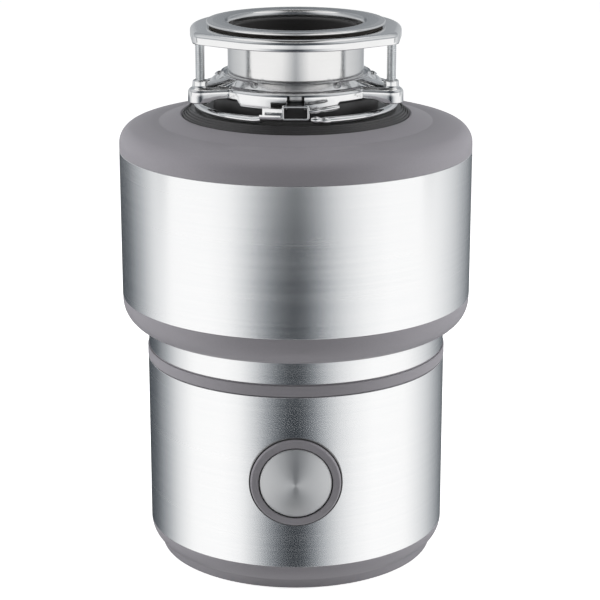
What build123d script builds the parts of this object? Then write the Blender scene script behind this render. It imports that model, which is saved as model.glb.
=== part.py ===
"""Kitchen garbage disposal with its sink mount, as separate pieces.

The axis of the machine is Z, the foot stands on z = 0 and the front faces -Y. Sizes are in millimetres.
"""

import os
from math import cos, degrees, radians, sin

from build123d import *

# Clearances
run_gap = 0.05  # a shaft in its bush
slide_gap = 0.3  # between pieces that move past each other
seat_gap = 0.15  # round a fixed piece in its seat
lip_gap = 0.05  # round a bush or a ring in its housing

# Steel wrappers and the moulded pieces between them, from the foot up
sheet = 0.8
foot_inset = 7.5
foot_width = 7.5
foot_crease_inset = 4.8
foot_crease_z = 7.0
cap_wall_step = 4.5
floor_z = 1.5
floor_wall = 3.0
motor_r = 95.0
lower_band_z = 17.4
lower_band_h = 110.3
shadow_gap = 0.7
belt_proud = 0.2
belt_h = 6.8
neck_inset = 0.5
neck_h = 15.1
trim_edge_reach = 5.0
trim_h = 18.3
trim_floor = 4.0
trim_hole_gap = 2.0
trim_side_h = 2.8
body_r = 110.5
upper_band_h = 92.5
cap_lip_h = 4.5
cap_shoulder_r = 11.0
cap_shoulder_turn = 72.0
cap_slope_width = 13.5
cap_crease_rise = 17.5
cap_rim_step = 10.5
cap_rim_width = 1.15
cap_rim_rise = 22.2
moulded_wall = 3.0
spigot_h = 6.6

# Motor
shell_inset = 5.5
shell_wall = 2.5
shaft_r = 7.94
bush_wall = 5.0
hub_wall = 4.0
hub_drop = 6.0
bell_plate_z = 26.0
bell_plate_t = 4.0
bell_plate_overhang = 14.0
register_wall = 4.0
stator_r = 62.0
stator_bore_r = 36.0
stator_z = 50.0
stator_h = 44.0
slot_count = 18
slot_depth = 11.0
slot_width = 6.0
air_gap = 0.4
winding_h = 13.0
bolt_r = 2.5
bolt_edge = 6.5
post_r = 6.0
post_edge = 7.0
capacitor_r = 9.9
capacitor_h = 52.0

# Grinding chamber
basin_step = 3.0
basin_wall = 6.5
basin_floor_rise = 16.0
basin_depth = 56.0
basin_floor_t = 6.0
joint_flange_width = 4.5
joint_flange_t = 4.5
outlet_rise = 30.0
outlet_bore_r = 19.5
outlet_wall = 3.0
outlet_face_inset = 1.0
outlet_flange_t = 6.0
outlet_bolt_spacing = 62.0
outlet_bolt_r = 2.7
hopper_r = 76.0
hopper_sheet = 1.2
hopper_wall_h = 38.0
hopper_throat_r = 50.8
hopper_lip_width = 6.2
hopper_lip_rise = 1.0
ring_t = 5.9
ring_h = 18.0
tooth_count = 24
tooth_depth = 2.6
tooth_width = 7.0
tooth_h = 10.0
plate_gap = 0.6
plate_t = 3.0
plate_drop = 1.0
drain_hole_r = 3.0
lug_inset = 23.5
lug_reach = 17.0
lug_width = 16.0
lug_t = 4.0
lug_head_h = 12.0
lug_head_t = 8.0
rivet_r = 4.0
rivet_head_r = 7.0
nut_flats = 24.0
nut_h = 8.0
undercutter_gap = 7.0
undercutter_t = 3.2
foam_in_gap = 2.0
foam_trim_gap = 1.55
inlet_angle = 130.0
inlet_rise = 18.0
inlet_r = 11.0
inlet_bore_r = 8.0
inlet_reach = 23.5
inlet_shoulder = 1.5
inlet_shoulder_reach = 1.5
inlet_flange_r = 15.0
inlet_flange_t = 5.0

# Sink mount
flange_width = 14.15
flange_rise = 59.0
flange_t = 2.6
throat_r = 41.5
throat_wall = 1.5
throat_end_rise = 3.0
ear_reach = 7.5
mount_angles = (-30, -150, 90)
screw_r = 3.1
screw_inset = 2.5
clamp_gap = 0.7
clamp_bore_gap = 3.0
clamp_sheet = 1.6
clamp_skirt_h = 6.0
clamp_reach = 4.0
clamp_lobe_r = 5.5
gasket_t = 1.7
gasket_bore_step = 1.5
gasket_edge_inset = 12.0
mount_h = 15.4
mount_web_width = 17.0
mount_crown = 1.9
mount_rise = 4.8
mount_notch_h = 3.3
mount_notch_angle = 42.0
ear_drop = 1.6
ear_h = 9.6
ear_r = 6.2
collar_h = 4.2
collar_r = 4.6
snap_ring_t = 1.6
snap_ring_width = 3.5
bead_step = 1.5
bead_tube_r = 2.4
bead_rise = 7.1
cushion_bore_inset = 3.0
cushion_edge_drop = 0.9
cushion_flange_drop = 11.5
cushion_flange_t = 2.5
cushion_flange_width = 5.8
cushion_column_width = 9.5
rib_count = 4
rib_depth = 0.6
baffle_wall = 2.6
baffle_slack = 0.1
baffle_top_drop = 6.0
baffle_floor_rise = 11.0
baffle_slope = 3.0
baffle_hole_r = 15.0

# Badge plate on the front
badge_z = 76.0
badge_r = 27.75
badge_disc_r = 21.7
badge_face = 2.6
badge_recess = 1.4

# Underside
wrench_hole_r = 10.0
socket_flats = 6.35
socket_depth = 12.0
reset_x = -45.0
reset_y = -30.0
reset_r = 5.0
reset_flange_r = 6.8
reset_face_z = 0.8
reset_travel = 2.5
protector_size = (26.0, 20.0, 16.0)
terminal_y = 50.0
terminal_size = (64.0, 40.0)
terminal_opening = (50.0, 28.0)
terminal_t = 1.2
cover_screw_spacing = 57.0
conduit_r = 11.1
conduit_x = -10.0
small_screw_r = 1.9
small_head_r = 3.2

# Heights that follow from the stack
lower_band_top = lower_band_z + lower_band_h
belt_z = lower_band_top + shadow_gap
belt_top = belt_z + belt_h
neck_z = belt_top + shadow_gap
trim_z = neck_z + neck_h
trim_top = trim_z + trim_h
trim_side_z = trim_top - trim_side_h
upper_band_top = trim_top + upper_band_h
cap_crease_z = upper_band_top + cap_crease_rise
cap_rim_z = upper_band_top + cap_rim_rise
floor_top = floor_z + floor_wall
stator_top = stator_z + stator_h
basin_floor_z = trim_z + basin_floor_rise
basin_floor_top = basin_floor_z + basin_floor_t
joint_z = basin_floor_z + basin_depth
outlet_z = basin_floor_z + outlet_rise
inlet_z = joint_z + inlet_rise
plate_z = joint_z - plate_drop
plate_top = plate_z + plate_t
hopper_lip_z = cap_rim_z + hopper_lip_rise
cushion_edge_z = cap_rim_z - cushion_edge_drop
cushion_flange_z = cap_rim_z - cushion_flange_drop
cushion_flange_top = cushion_flange_z + cushion_flange_t
bead_z = cushion_edge_z + bead_rise
mount_skirt_z = bead_z + mount_rise
mount_notch_z = mount_skirt_z + mount_notch_h
mount_plate_z = mount_skirt_z + mount_h
mount_skirt_top_z = mount_plate_z - mount_crown
ear_z = mount_skirt_z + ear_drop
ear_top_z = ear_z + ear_h
collar_top_z = ear_top_z + collar_h
throat_end_z = mount_skirt_z + throat_end_rise
flange_z = cap_rim_z + flange_rise
flange_under_z = flange_z - flange_t
clamp_plate_z = flange_under_z - clamp_gap - gasket_t
baffle_top_z = flange_z - baffle_top_drop
baffle_floor_z = throat_end_z + baffle_floor_rise

# Radii that follow from the casing, the motor and the throat
foot_r = motor_r - foot_inset
foot_crease_r = motor_r - foot_crease_inset
foot_in_r = foot_r - foot_width
cap_wall_r = foot_in_r + cap_wall_step
lower_lip_r = motor_r - sheet - seat_gap
shell_out_r = motor_r - shell_inset
shell_in_r = shell_out_r - shell_wall
belt_r = motor_r + belt_proud
neck_r = motor_r - neck_inset
trim_edge_r = neck_r + trim_edge_reach
upper_lip_r = body_r - sheet - seat_gap
throat_out_r = throat_r + throat_wall
flange_r = throat_out_r + flange_width
mount_skirt_r = throat_out_r + mount_web_width
mount_circle_r = mount_skirt_r + ear_reach
clamp_r = mount_skirt_r + clamp_reach
bead_r = mount_skirt_r + bead_step
cap_rim_r = bead_r + cap_rim_step
cap_crease_r = cap_rim_r + cap_slope_width
bell_plate_r = stator_r + bell_plate_overhang
bolt_circle_r = bell_plate_r - bolt_edge
post_circle_r = bell_plate_r - post_edge
bush_out_r = shaft_r + run_gap + bush_wall
hub_out_r = bush_out_r + lip_gap + hub_wall
basin_in_r = hopper_r - basin_step
basin_seat_r = max(basin_in_r, bolt_circle_r + bolt_r)
basin_out_r = basin_seat_r + basin_wall
trim_hole_r = basin_seat_r + trim_hole_gap
joint_flange_r = basin_out_r + joint_flange_width
plate_r = hopper_r - ring_t - plate_gap
lug_pivot_r = plate_r - lug_inset
undercutter_r = basin_in_r - undercutter_gap
foam_in_r = joint_flange_r + foam_in_gap
foam_trim_r = upper_lip_r - moulded_wall - foam_trim_gap
outlet_face_y = body_r - outlet_face_inset
inlet_end_r = body_r + inlet_reach
inlet_shoulder_r = inlet_r + inlet_shoulder
inlet_shoulder_end_r = body_r + inlet_shoulder_reach
hopper_lip_r = hopper_throat_r + hopper_lip_width
clamp_in_r = throat_out_r + clamp_bore_gap
snap_ring_r = throat_out_r + snap_ring_width
cushion_r = cap_rim_r - cap_rim_width - seat_gap
cushion_bore_r = throat_r - cushion_bore_inset
cushion_flange_r = cushion_r + cushion_flange_width
cushion_column_r = snap_ring_r + cushion_column_width

os.makedirs("parts", exist_ok=True)


def outline(*points):
    """Half section in the XZ plane from corners given as (radius, height)."""
    with BuildSketch(Plane.XZ) as section:
        with BuildLine():
            Polyline(*points, close=True)
        make_face()
    return section.sketch


def rect_section(r_in, r_out, z_low, z_high):
    """Half section of a plain ring."""
    return outline((r_in, z_low), (r_out, z_low), (r_out, z_high), (r_in, z_high))


def on_circle(radius, angle, height=0.0):
    """Point at an angle in degrees on a circle about the axis."""
    return (radius * cos(radians(angle)), radius * sin(radians(angle)), height)


def write(builder, name):
    """Label a finished piece and write it under its own name."""
    builder.part.label = name
    export_step(builder.part, f"parts/{name}.step")


# Foot and motor housing

post_places = [on_circle(post_circle_r, angle) for angle in (30, 150, 270)]
post_top = bell_plate_z
base_hole_r = small_screw_r + seat_gap
base_head_z = 2.4  # how deep a base screw's head sits in its post

with BuildPart() as bottom_cap:
    with BuildSketch(Plane.XZ):
        with BuildLine():
            Polyline(
                (0, floor_z),
                (foot_in_r, floor_z),
                (foot_in_r, 0),
                (foot_r, 0),
                (foot_crease_r, foot_crease_z),
            )
            TangentArc((motor_r, lower_band_z), (foot_crease_r, foot_crease_z), tangent=(0, -1))
            Polyline(
                (motor_r, lower_band_z),
                (lower_lip_r, lower_band_z),
                (lower_lip_r, lower_band_z + spigot_h),
                (lower_lip_r - moulded_wall, lower_band_z + spigot_h),
                (lower_lip_r - moulded_wall, lower_band_z),
                (cap_wall_r, lower_band_z),
                (cap_wall_r, floor_top),
                (0, floor_top),
                (0, floor_z),
            )
        make_face()
    revolve(axis=Axis.Z)
    with BuildSketch(Plane.XY.offset(floor_top)):
        with Locations(*post_places):
            Circle(post_r)
    extrude(amount=post_top - floor_top)
    with Locations(*[Pos(x, y, floor_z) for x, y, z in post_places]):
        Cylinder(small_head_r + seat_gap, 2 * base_head_z, mode=Mode.SUBTRACT)
        Cylinder(base_hole_r, 2 * post_top, mode=Mode.SUBTRACT)
    with BuildSketch(Plane.XY):
        Circle(wrench_hole_r)
        with Locations((reset_x, reset_y)):
            Circle(reset_r + slide_gap)
        with Locations((0, terminal_y)):
            Rectangle(*terminal_opening)
            with GridLocations(cover_screw_spacing, 1, 2, 1):
                Circle(base_hole_r)
    extrude(amount=floor_top, mode=Mode.SUBTRACT)
write(bottom_cap, "bottom_cap")

with BuildPart() as base_screws:
    with BuildSketch(Plane.XY.offset(floor_z)):
        with Locations(*post_places):
            Circle(small_head_r)
    extrude(amount=base_head_z)
    with BuildSketch(Plane.XY.offset(floor_z + base_head_z)):
        with Locations(*post_places):
            Circle(small_screw_r)
    extrude(amount=post_top + bell_plate_t - floor_z - base_head_z - 1)
write(base_screws, "base_screws")

with BuildPart() as lower_band:
    revolve(rect_section(motor_r - sheet, motor_r, lower_band_z, lower_band_top))
write(lower_band, "lower_band")

belt_seat_z = lower_band_top - spigot_h
with BuildPart() as belt_ring:
    revolve(
        outline(
            (shell_out_r + seat_gap, belt_seat_z),
            (lower_lip_r, belt_seat_z),
            (lower_lip_r, belt_z),
            (belt_r, belt_z),
            (belt_r, belt_top),
            (neck_r - sheet / 2, belt_top),
            (neck_r - sheet / 2, neck_z),
            (shell_out_r + seat_gap, neck_z),
        )
    )
write(belt_ring, "belt_ring")

with BuildPart() as neck_band:
    revolve(rect_section(neck_r - sheet, neck_r, neck_z, trim_z))
write(neck_band, "neck_band")

with BuildPart() as motor_shell:
    revolve(
        outline(
            (shell_in_r, lower_band_z),
            (shell_out_r, lower_band_z),
            (shell_out_r, belt_seat_z - moulded_wall),
            (lower_lip_r, belt_seat_z - moulded_wall),
            (lower_lip_r, belt_seat_z),
            (shell_out_r, belt_seat_z),
            (shell_out_r, trim_z),
            (shell_in_r, trim_z),
        )
    )
write(motor_shell, "motor_shell")

# Grey badge plate: a ring cut to the curve of the lower band, with a flat disc let into it
badge_plane = Plane((0, 0, badge_z), x_dir=(1, 0, 0), z_dir=(0, -1, 0))
badge_front = motor_r + badge_face
badge_floor = badge_front - badge_recess
with BuildPart() as badge_bezel:
    with BuildSketch(badge_plane.offset(motor_r - badge_r / 2)):
        Circle(badge_r)
    extrude(amount=badge_front - motor_r + badge_r / 2)
    chamfer(badge_bezel.faces().sort_by(Axis.Y)[0].edges(), badge_face / 2)
    with BuildSketch(badge_plane.offset(badge_floor)):
        Circle(badge_disc_r + seat_gap)
    extrude(amount=2 * badge_recess, mode=Mode.SUBTRACT)
    with Locations((0, 0, badge_z)):
        Cylinder(motor_r + lip_gap, 4 * badge_r, mode=Mode.SUBTRACT)
write(badge_bezel, "badge_bezel")

with BuildPart() as badge_disc:
    with BuildSketch(badge_plane.offset(badge_floor)):
        Circle(badge_disc_r)
    extrude(amount=badge_recess + 0.2)
    chamfer(badge_disc.faces().sort_by(Axis.Y)[0].edges(), badge_recess / 2)
write(badge_disc, "badge_disc")

# Upper housing

outlet_plane = Plane((0, 0, outlet_z), x_dir=(-1, 0, 0), z_dir=(0, 1, 0))
inlet_plane = Plane(
    (0, 0, inlet_z),
    x_dir=(-sin(radians(inlet_angle)), cos(radians(inlet_angle)), 0),
    z_dir=(cos(radians(inlet_angle)), sin(radians(inlet_angle)), 0),
)
outlet_out_r = outlet_bore_r + outlet_wall
outlet_flange_r = outlet_out_r + 1.0
outlet_ear_r = 7.5
recess_margin = 1.5


def outlet_shape(margin):
    """Outline of the discharge flange: a round middle and two bolt ears, grown by a margin."""
    with BuildSketch(outlet_plane) as shape:
        Circle(outlet_flange_r + margin)
        with GridLocations(outlet_bolt_spacing, 1, 2, 1):
            Circle(outlet_ear_r + margin)
        make_hull()
    return shape.sketch


with BuildPart() as lower_trim:
    with BuildSketch(Plane.XZ):
        with BuildLine():
            Polyline((trim_hole_r, trim_z + trim_floor), (trim_hole_r, trim_z), (trim_edge_r, trim_z))
            TangentArc((body_r - seat_gap, trim_side_z), (trim_edge_r, trim_z), tangent=(0, -1))
            Polyline(
                (body_r - seat_gap, trim_side_z),
                (body_r - seat_gap, trim_top),
                (upper_lip_r - moulded_wall, trim_top),
                (upper_lip_r - moulded_wall, trim_side_z),
                (trim_edge_r - moulded_wall, trim_z + trim_floor),
                (trim_hole_r, trim_z + trim_floor),
            )
        make_face()
    revolve(axis=Axis.Z)
write(lower_trim, "lower_trim")

with BuildPart() as upper_band:
    revolve(rect_section(body_r - sheet, body_r, trim_top, upper_band_top))
    extrude(outlet_shape(recess_margin), amount=body_r, mode=Mode.SUBTRACT)
    with BuildSketch(inlet_plane):
        Circle(inlet_shoulder_r + seat_gap)
    extrude(amount=body_r, mode=Mode.SUBTRACT)
write(upper_band, "upper_band")

foam_top = upper_band_top - spigot_h - seat_gap
foam_section = outline(
    (foam_in_r, trim_z + trim_floor),
    (trim_edge_r - 2 * moulded_wall, trim_z + trim_floor),
    (foam_trim_r, trim_top),
    (upper_lip_r, trim_top),
    (upper_lip_r, foam_top),
    (foam_in_r, foam_top),
)
with BuildPart() as front_insulation:
    revolve(foam_section.rotate(Axis.Z, 180), revolution_arc=180)
write(front_insulation, "front_insulation")


def rear_foam(start):
    """Quarter ring of foam from an angle on, cut out for the outlet and the inlet."""
    with BuildPart() as quarter:
        revolve(foam_section.rotate(Axis.Z, start), revolution_arc=90)
        extrude(outlet_shape(recess_margin), amount=body_r, mode=Mode.SUBTRACT)
        with BuildSketch(inlet_plane):
            Circle(inlet_shoulder_r + seat_gap)
        extrude(amount=body_r, mode=Mode.SUBTRACT)
    return quarter


write(rear_foam(0), "right_insulation")
write(rear_foam(90), "left_insulation")

with BuildPart() as top_cover:
    with BuildSketch(Plane.XZ):
        with BuildLine():
            Line((body_r, upper_band_top), (body_r, upper_band_top + cap_lip_h))
            shoulder = JernArc(
                start=(body_r, upper_band_top + cap_lip_h),
                tangent=(0, 1),
                radius=cap_shoulder_r,
                arc_size=cap_shoulder_turn,
            )
            TangentArc(shoulder @ 1, (cap_crease_r, cap_crease_z), tangent=shoulder % 1)
            Polyline(
                (cap_crease_r, cap_crease_z),
                (cap_rim_r, cap_rim_z),
                (cushion_r + seat_gap, cap_rim_z - 1),
                (cushion_r + seat_gap, cushion_flange_top),
                (cap_crease_r - moulded_wall, cushion_flange_top),
                (body_r - cap_shoulder_r, cap_crease_z - 2 * moulded_wall),
                (upper_lip_r - moulded_wall, upper_band_top + cap_lip_h),
            )
            Polyline(
                (upper_lip_r - moulded_wall, upper_band_top + cap_lip_h),
                (upper_lip_r - moulded_wall, upper_band_top - spigot_h),
                (upper_lip_r, upper_band_top - spigot_h),
                (upper_lip_r, upper_band_top),
                (body_r, upper_band_top),
            )
        make_face()
    revolve(axis=Axis.Z)
write(top_cover, "top_cover")

# Motor

register_r = stator_r + lip_gap
register_out_r = register_r + register_wall
register_overlap = 8.0
step_r = stator_r - register_wall
bush_bore_r = bush_out_r + lip_gap
lower_hub_z = 12.0
lower_hub_top = 36.0
lower_bush_h = 20.0
bolt_places = [on_circle(bolt_circle_r, angle) for angle in (45, 135, 225, 315)]
bolt_head_r = 4.2
bolt_head_h = 4.0
bolt_end_z = basin_floor_top - 2

with BuildPart() as lower_end_bell:
    revolve(
        outline(
            (bush_bore_r, lower_hub_z),
            (hub_out_r, lower_hub_z),
            (hub_out_r, bell_plate_z),
            (bell_plate_r, bell_plate_z),
            (bell_plate_r, bell_plate_z + bell_plate_t),
            (register_out_r, bell_plate_z + bell_plate_t),
            (register_out_r, stator_z + register_overlap),
            (register_r, stator_z + register_overlap),
            (register_r, stator_z),
            (step_r, stator_z),
            (step_r, bell_plate_z + bell_plate_t),
            (hub_out_r, bell_plate_z + bell_plate_t),
            (hub_out_r, lower_hub_top),
            (bush_bore_r, lower_hub_top),
        )
    )
    with BuildSketch(Plane.XY.offset(bell_plate_z)):
        with Locations(*bolt_places):
            Circle(bolt_r + seat_gap)
        with Locations(*post_places):
            Circle(base_hole_r)
    extrude(amount=bell_plate_t, mode=Mode.SUBTRACT)
write(lower_end_bell, "lower_end_bell")

with BuildPart() as lower_bush:
    revolve(
        rect_section(shaft_r + run_gap, bush_out_r, lower_hub_z, lower_hub_z + lower_bush_h)
    )
write(lower_bush, "lower_bush")

slot_inner_r = stator_bore_r + 3.0
slot_mouth = 2.4
with BuildPart() as stator_core:
    with BuildSketch(Plane.XY.offset(stator_z)):
        Circle(stator_r)
        Circle(stator_bore_r, mode=Mode.SUBTRACT)
        with PolarLocations(slot_inner_r + slot_depth / 2, slot_count):
            Rectangle(slot_depth, slot_width, mode=Mode.SUBTRACT)
        with PolarLocations(stator_bore_r, slot_count):
            Rectangle(2 * (slot_inner_r - stator_bore_r), slot_mouth, mode=Mode.SUBTRACT)
    extrude(amount=stator_h)
write(stator_core, "stator_core")

winding_in_r = (stator_bore_r + slot_inner_r) / 2
winding_out_r = step_r - 2.0
with BuildPart() as stator_winding:
    with BuildSketch(Plane.XY.offset(stator_z)):
        with PolarLocations(slot_inner_r + slot_depth / 2, slot_count):
            Rectangle(slot_depth - 2 * seat_gap, slot_width - 2 * seat_gap)
    extrude(amount=stator_h)
    for crown_z in (stator_z - winding_h, stator_top):
        revolve(rect_section(winding_in_r, winding_out_r, crown_z, crown_z + winding_h))
write(stator_winding, "stator_winding")

rotor_overhang = 4.0
with BuildPart() as rotor_core:
    revolve(
        rect_section(
            shaft_r + lip_gap,
            stator_bore_r - air_gap,
            stator_z - rotor_overhang,
            stator_top + rotor_overhang,
        )
    )
write(rotor_core, "rotor_core")

shaft_z = 8.0
shoulder_z = plate_z - undercutter_t
shaft_end_r = 6.0
shaft_top = plate_top + nut_h + 2
with BuildPart() as motor_shaft:
    revolve(
        outline(
            (0, shaft_z),
            (shaft_r, shaft_z),
            (shaft_r, shoulder_z),
            (shaft_end_r, shoulder_z),
            (shaft_end_r, shaft_top),
            (0, shaft_top),
        )
    )
    with BuildSketch(Plane.XY.offset(shaft_z)):
        RegularPolygon(socket_flats / 2, 6, major_radius=False)
    extrude(amount=socket_depth, mode=Mode.SUBTRACT)
write(motor_shaft, "motor_shaft")

with BuildPart() as through_bolts:
    with BuildSketch(Plane.XY.offset(bell_plate_z - bolt_head_h)):
        with Locations(*bolt_places):
            Circle(bolt_head_r)
    extrude(amount=bolt_head_h)
    with BuildSketch(Plane.XY.offset(bell_plate_z)):
        with Locations(*bolt_places):
            Circle(bolt_r)
    extrude(amount=bolt_end_z - bell_plate_z)
write(through_bolts, "through_bolts")

capacitor_z = stator_z + 12
with BuildPart() as start_capacitor:
    with BuildSketch(Plane.XY.offset(capacitor_z)):
        with Locations((register_out_r + slide_gap + capacitor_r, 0)):
            Circle(capacitor_r)
    extrude(amount=capacitor_h)
    fillet(start_capacitor.faces().sort_by(Axis.Z)[-1].edges(), 2)
write(start_capacitor, "start_capacitor")

# Underside fittings

plunger_r = 3.0
plunger_top = 14.0
protector_recess = 8.0
with BuildPart() as overload_protector:
    with Locations((reset_x, reset_y, floor_top)):
        Box(*protector_size, align=(Align.CENTER, Align.CENTER, Align.MIN))
    with BuildSketch(Plane.XY.offset(floor_top)):
        with Locations((reset_x, reset_y)):
            Circle(reset_flange_r + 2 * slide_gap)
    extrude(amount=protector_recess, mode=Mode.SUBTRACT)
    with BuildSketch(Plane.XY.offset(floor_top)):
        with Locations((reset_x, reset_y)):
            Circle(plunger_r + slide_gap)
    extrude(amount=plunger_top + reset_travel + 1 - floor_top, mode=Mode.SUBTRACT)
write(overload_protector, "overload_protector")

reset_flange_t = 1.5
with BuildPart() as reset_button:
    with BuildSketch(Plane.XY.offset(reset_face_z)):
        with Locations((reset_x, reset_y)):
            Circle(reset_r)
    extrude(amount=floor_top + slide_gap - reset_face_z)
    with BuildSketch(Plane.XY.offset(floor_top + slide_gap)):
        with Locations((reset_x, reset_y)):
            Circle(reset_flange_r)
    extrude(amount=reset_flange_t)
    with BuildSketch(Plane.XY.offset(floor_top + slide_gap + reset_flange_t)):
        with Locations((reset_x, reset_y)):
            Circle(plunger_r)
    extrude(amount=plunger_top - floor_top - slide_gap - reset_flange_t)
    chamfer(reset_button.faces().sort_by(Axis.Z)[0].edges(), 0.6)
write(reset_button, "reset_button")

with BuildPart() as terminal_cover:
    with BuildSketch(Plane.XY.offset(floor_z - terminal_t)):
        with Locations((0, terminal_y)):
            RectangleRounded(*terminal_size, 4)
            with GridLocations(cover_screw_spacing, 1, 2, 1):
                Circle(small_head_r + seat_gap, mode=Mode.SUBTRACT)
        with Locations((conduit_x, terminal_y)):
            Circle(conduit_r, mode=Mode.SUBTRACT)
    extrude(amount=terminal_t)
write(terminal_cover, "terminal_cover")

with BuildPart() as cover_screws:
    with BuildSketch(Plane.XY.offset(floor_z - terminal_t)):
        with Locations((0, terminal_y)):
            with GridLocations(cover_screw_spacing, 1, 2, 1):
                Circle(small_head_r)
    extrude(amount=terminal_t)
    with BuildSketch(Plane.XY.offset(floor_z)):
        with Locations((0, terminal_y)):
            with GridLocations(cover_screw_spacing, 1, 2, 1):
                Circle(small_screw_r)
    extrude(amount=floor_wall + 2)
write(cover_screws, "cover_screws")

# Grinding chamber

upper_bush_h = 24.0
upper_bush_z = basin_floor_z - upper_bush_h
upper_hub_z = upper_bush_z - hub_drop
seal_r = bush_out_r + 2.0
seal_h = 10.0
seal_top = basin_floor_z + seal_h
joint_screw_circle_r = (basin_out_r + joint_flange_r) / 2
joint_screw_places = [on_circle(joint_screw_circle_r, angle) for angle in (0, 60, 180, 240)]
joint_screw_depth = 8.0
outlet_start_y = basin_in_r - 1.0

with BuildPart() as upper_end_bell:
    revolve(
        outline(
            (bush_bore_r, upper_hub_z),
            (hub_out_r, upper_hub_z),
            (hub_out_r, basin_floor_z),
            (step_r, basin_floor_z),
            (step_r, stator_top),
            (register_r, stator_top),
            (register_r, stator_top - register_overlap),
            (register_out_r, stator_top - register_overlap),
            (register_out_r, basin_floor_z),
            (basin_seat_r, basin_floor_z),
            (basin_seat_r, trim_z + trim_floor),
            (basin_out_r, trim_z + trim_floor),
            (basin_out_r, joint_z - joint_flange_t),
            (joint_flange_r, joint_z - joint_flange_t),
            (joint_flange_r, joint_z),
            (basin_in_r, joint_z),
            (basin_in_r, basin_floor_top),
            (hub_out_r + 4, seal_top + 2),
            (seal_r + lip_gap, seal_top + 2),
            (seal_r + lip_gap, basin_floor_z),
            (bush_bore_r, basin_floor_z),
        )
    )
    with BuildSketch(outlet_plane.offset(outlet_start_y)):
        Circle(outlet_out_r)
    extrude(amount=outlet_face_y - outlet_start_y)
    extrude(
        outlet_shape(0).moved(Location((0, outlet_face_y - outlet_flange_t, 0))),
        amount=outlet_flange_t,
    )
    with BuildSketch(outlet_plane.offset(basin_in_r / 2)):
        Circle(outlet_bore_r)
    extrude(amount=body_r, mode=Mode.SUBTRACT)
    with BuildSketch(outlet_plane.offset(outlet_face_y - outlet_flange_t)):
        with GridLocations(outlet_bolt_spacing, 1, 2, 1):
            Circle(outlet_bolt_r)
    extrude(amount=outlet_flange_t, mode=Mode.SUBTRACT)
    with BuildSketch(Plane.XY.offset(basin_floor_z)):
        with Locations(*bolt_places):
            Circle(bolt_r + seat_gap)
    extrude(amount=bolt_end_z + 0.5 - basin_floor_z, mode=Mode.SUBTRACT)
    with BuildSketch(Plane.XY.offset(joint_z - joint_screw_depth)):
        with Locations(*joint_screw_places):
            Circle(small_screw_r + seat_gap)
    extrude(amount=joint_screw_depth, mode=Mode.SUBTRACT)
write(upper_end_bell, "upper_end_bell")

with BuildPart() as upper_bush:
    revolve(rect_section(shaft_r + run_gap, bush_out_r, upper_bush_z, basin_floor_z))
write(upper_bush, "upper_bush")

with BuildPart() as shaft_seal:
    revolve(
        outline(
            (shaft_r + run_gap, basin_floor_z),
            (seal_r, basin_floor_z),
            (seal_r, seal_top),
            (shaft_r + 4, seal_top),
            (shaft_r + run_gap, seal_top - 4),
        )
    )
write(shaft_seal, "shaft_seal")

hopper_out_r = hopper_r + hopper_sheet
dome_z = joint_z + hopper_wall_h
throat_collar_z = hopper_lip_z - 8.0
with BuildPart() as hopper:
    revolve(
        outline(
            (hopper_r, joint_z),
            (joint_flange_r, joint_z),
            (joint_flange_r, joint_z + hopper_sheet),
            (hopper_out_r, joint_z + hopper_sheet),
            (hopper_out_r, dome_z),
            (hopper_out_r - 7, dome_z + 10),
            (hopper_throat_r + hopper_sheet, throat_collar_z),
            (hopper_throat_r + hopper_sheet, hopper_lip_z - hopper_sheet),
            (hopper_lip_r, hopper_lip_z - hopper_sheet),
            (hopper_lip_r, hopper_lip_z),
            (hopper_throat_r, hopper_lip_z),
            (hopper_throat_r, throat_collar_z - hopper_sheet),
            (hopper_r - 7, dome_z + 10 - hopper_sheet),
            (hopper_r, dome_z),
        )
    )
    with BuildSketch(inlet_plane):
        Circle(inlet_bore_r)
    extrude(amount=body_r, mode=Mode.SUBTRACT)
    with BuildSketch(Plane.XY.offset(joint_z)):
        with Locations(*joint_screw_places):
            Circle(small_screw_r + seat_gap)
    extrude(amount=hopper_sheet, mode=Mode.SUBTRACT)
write(hopper, "hopper")

with BuildPart() as joint_screws:
    with BuildSketch(Plane.XY.offset(joint_z + hopper_sheet)):
        with Locations(*joint_screw_places):
            Circle(small_head_r - 0.3)
    extrude(amount=2.5)
    with BuildSketch(Plane.XY.offset(joint_z - joint_screw_depth + 0.5)):
        with Locations(*joint_screw_places):
            Circle(small_screw_r)
    extrude(amount=joint_screw_depth - 0.5 + hopper_sheet)
write(joint_screws, "joint_screws")

inlet_start_r = hopper_r - inlet_flange_t
with BuildPart() as dishwasher_inlet:
    with BuildSketch(inlet_plane.offset(inlet_start_r)):
        Circle(inlet_flange_r)
    extrude(amount=hopper_out_r + inlet_flange_t - inlet_start_r)
    with BuildSketch(inlet_plane.offset(inlet_start_r)):
        Circle(inlet_shoulder_r)
    extrude(amount=inlet_shoulder_end_r - inlet_start_r)
    with BuildSketch(inlet_plane.offset(inlet_start_r)):
        Circle(inlet_r)
    extrude(amount=inlet_end_r - inlet_start_r)
    with BuildSketch(inlet_plane):
        Circle(inlet_bore_r)
    extrude(amount=inlet_end_r, mode=Mode.SUBTRACT)
    with Locations((0, 0, inlet_z)):
        Cylinder(hopper_out_r + lip_gap, 4 * inlet_flange_r, mode=Mode.SUBTRACT)
write(dishwasher_inlet, "dishwasher_inlet")

ring_out_r = hopper_r - lip_gap
ring_in_r = plate_r + plate_gap
with BuildPart() as shredder_ring:
    revolve(rect_section(ring_in_r, ring_out_r, joint_z, joint_z + ring_h))
    with BuildSketch(Plane.XY.offset(joint_z)):
        with PolarLocations(ring_in_r, tooth_count):
            Rectangle(2 * tooth_depth, tooth_width)
    extrude(amount=tooth_h, mode=Mode.SUBTRACT)
write(shredder_ring, "shredder_ring")

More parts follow.
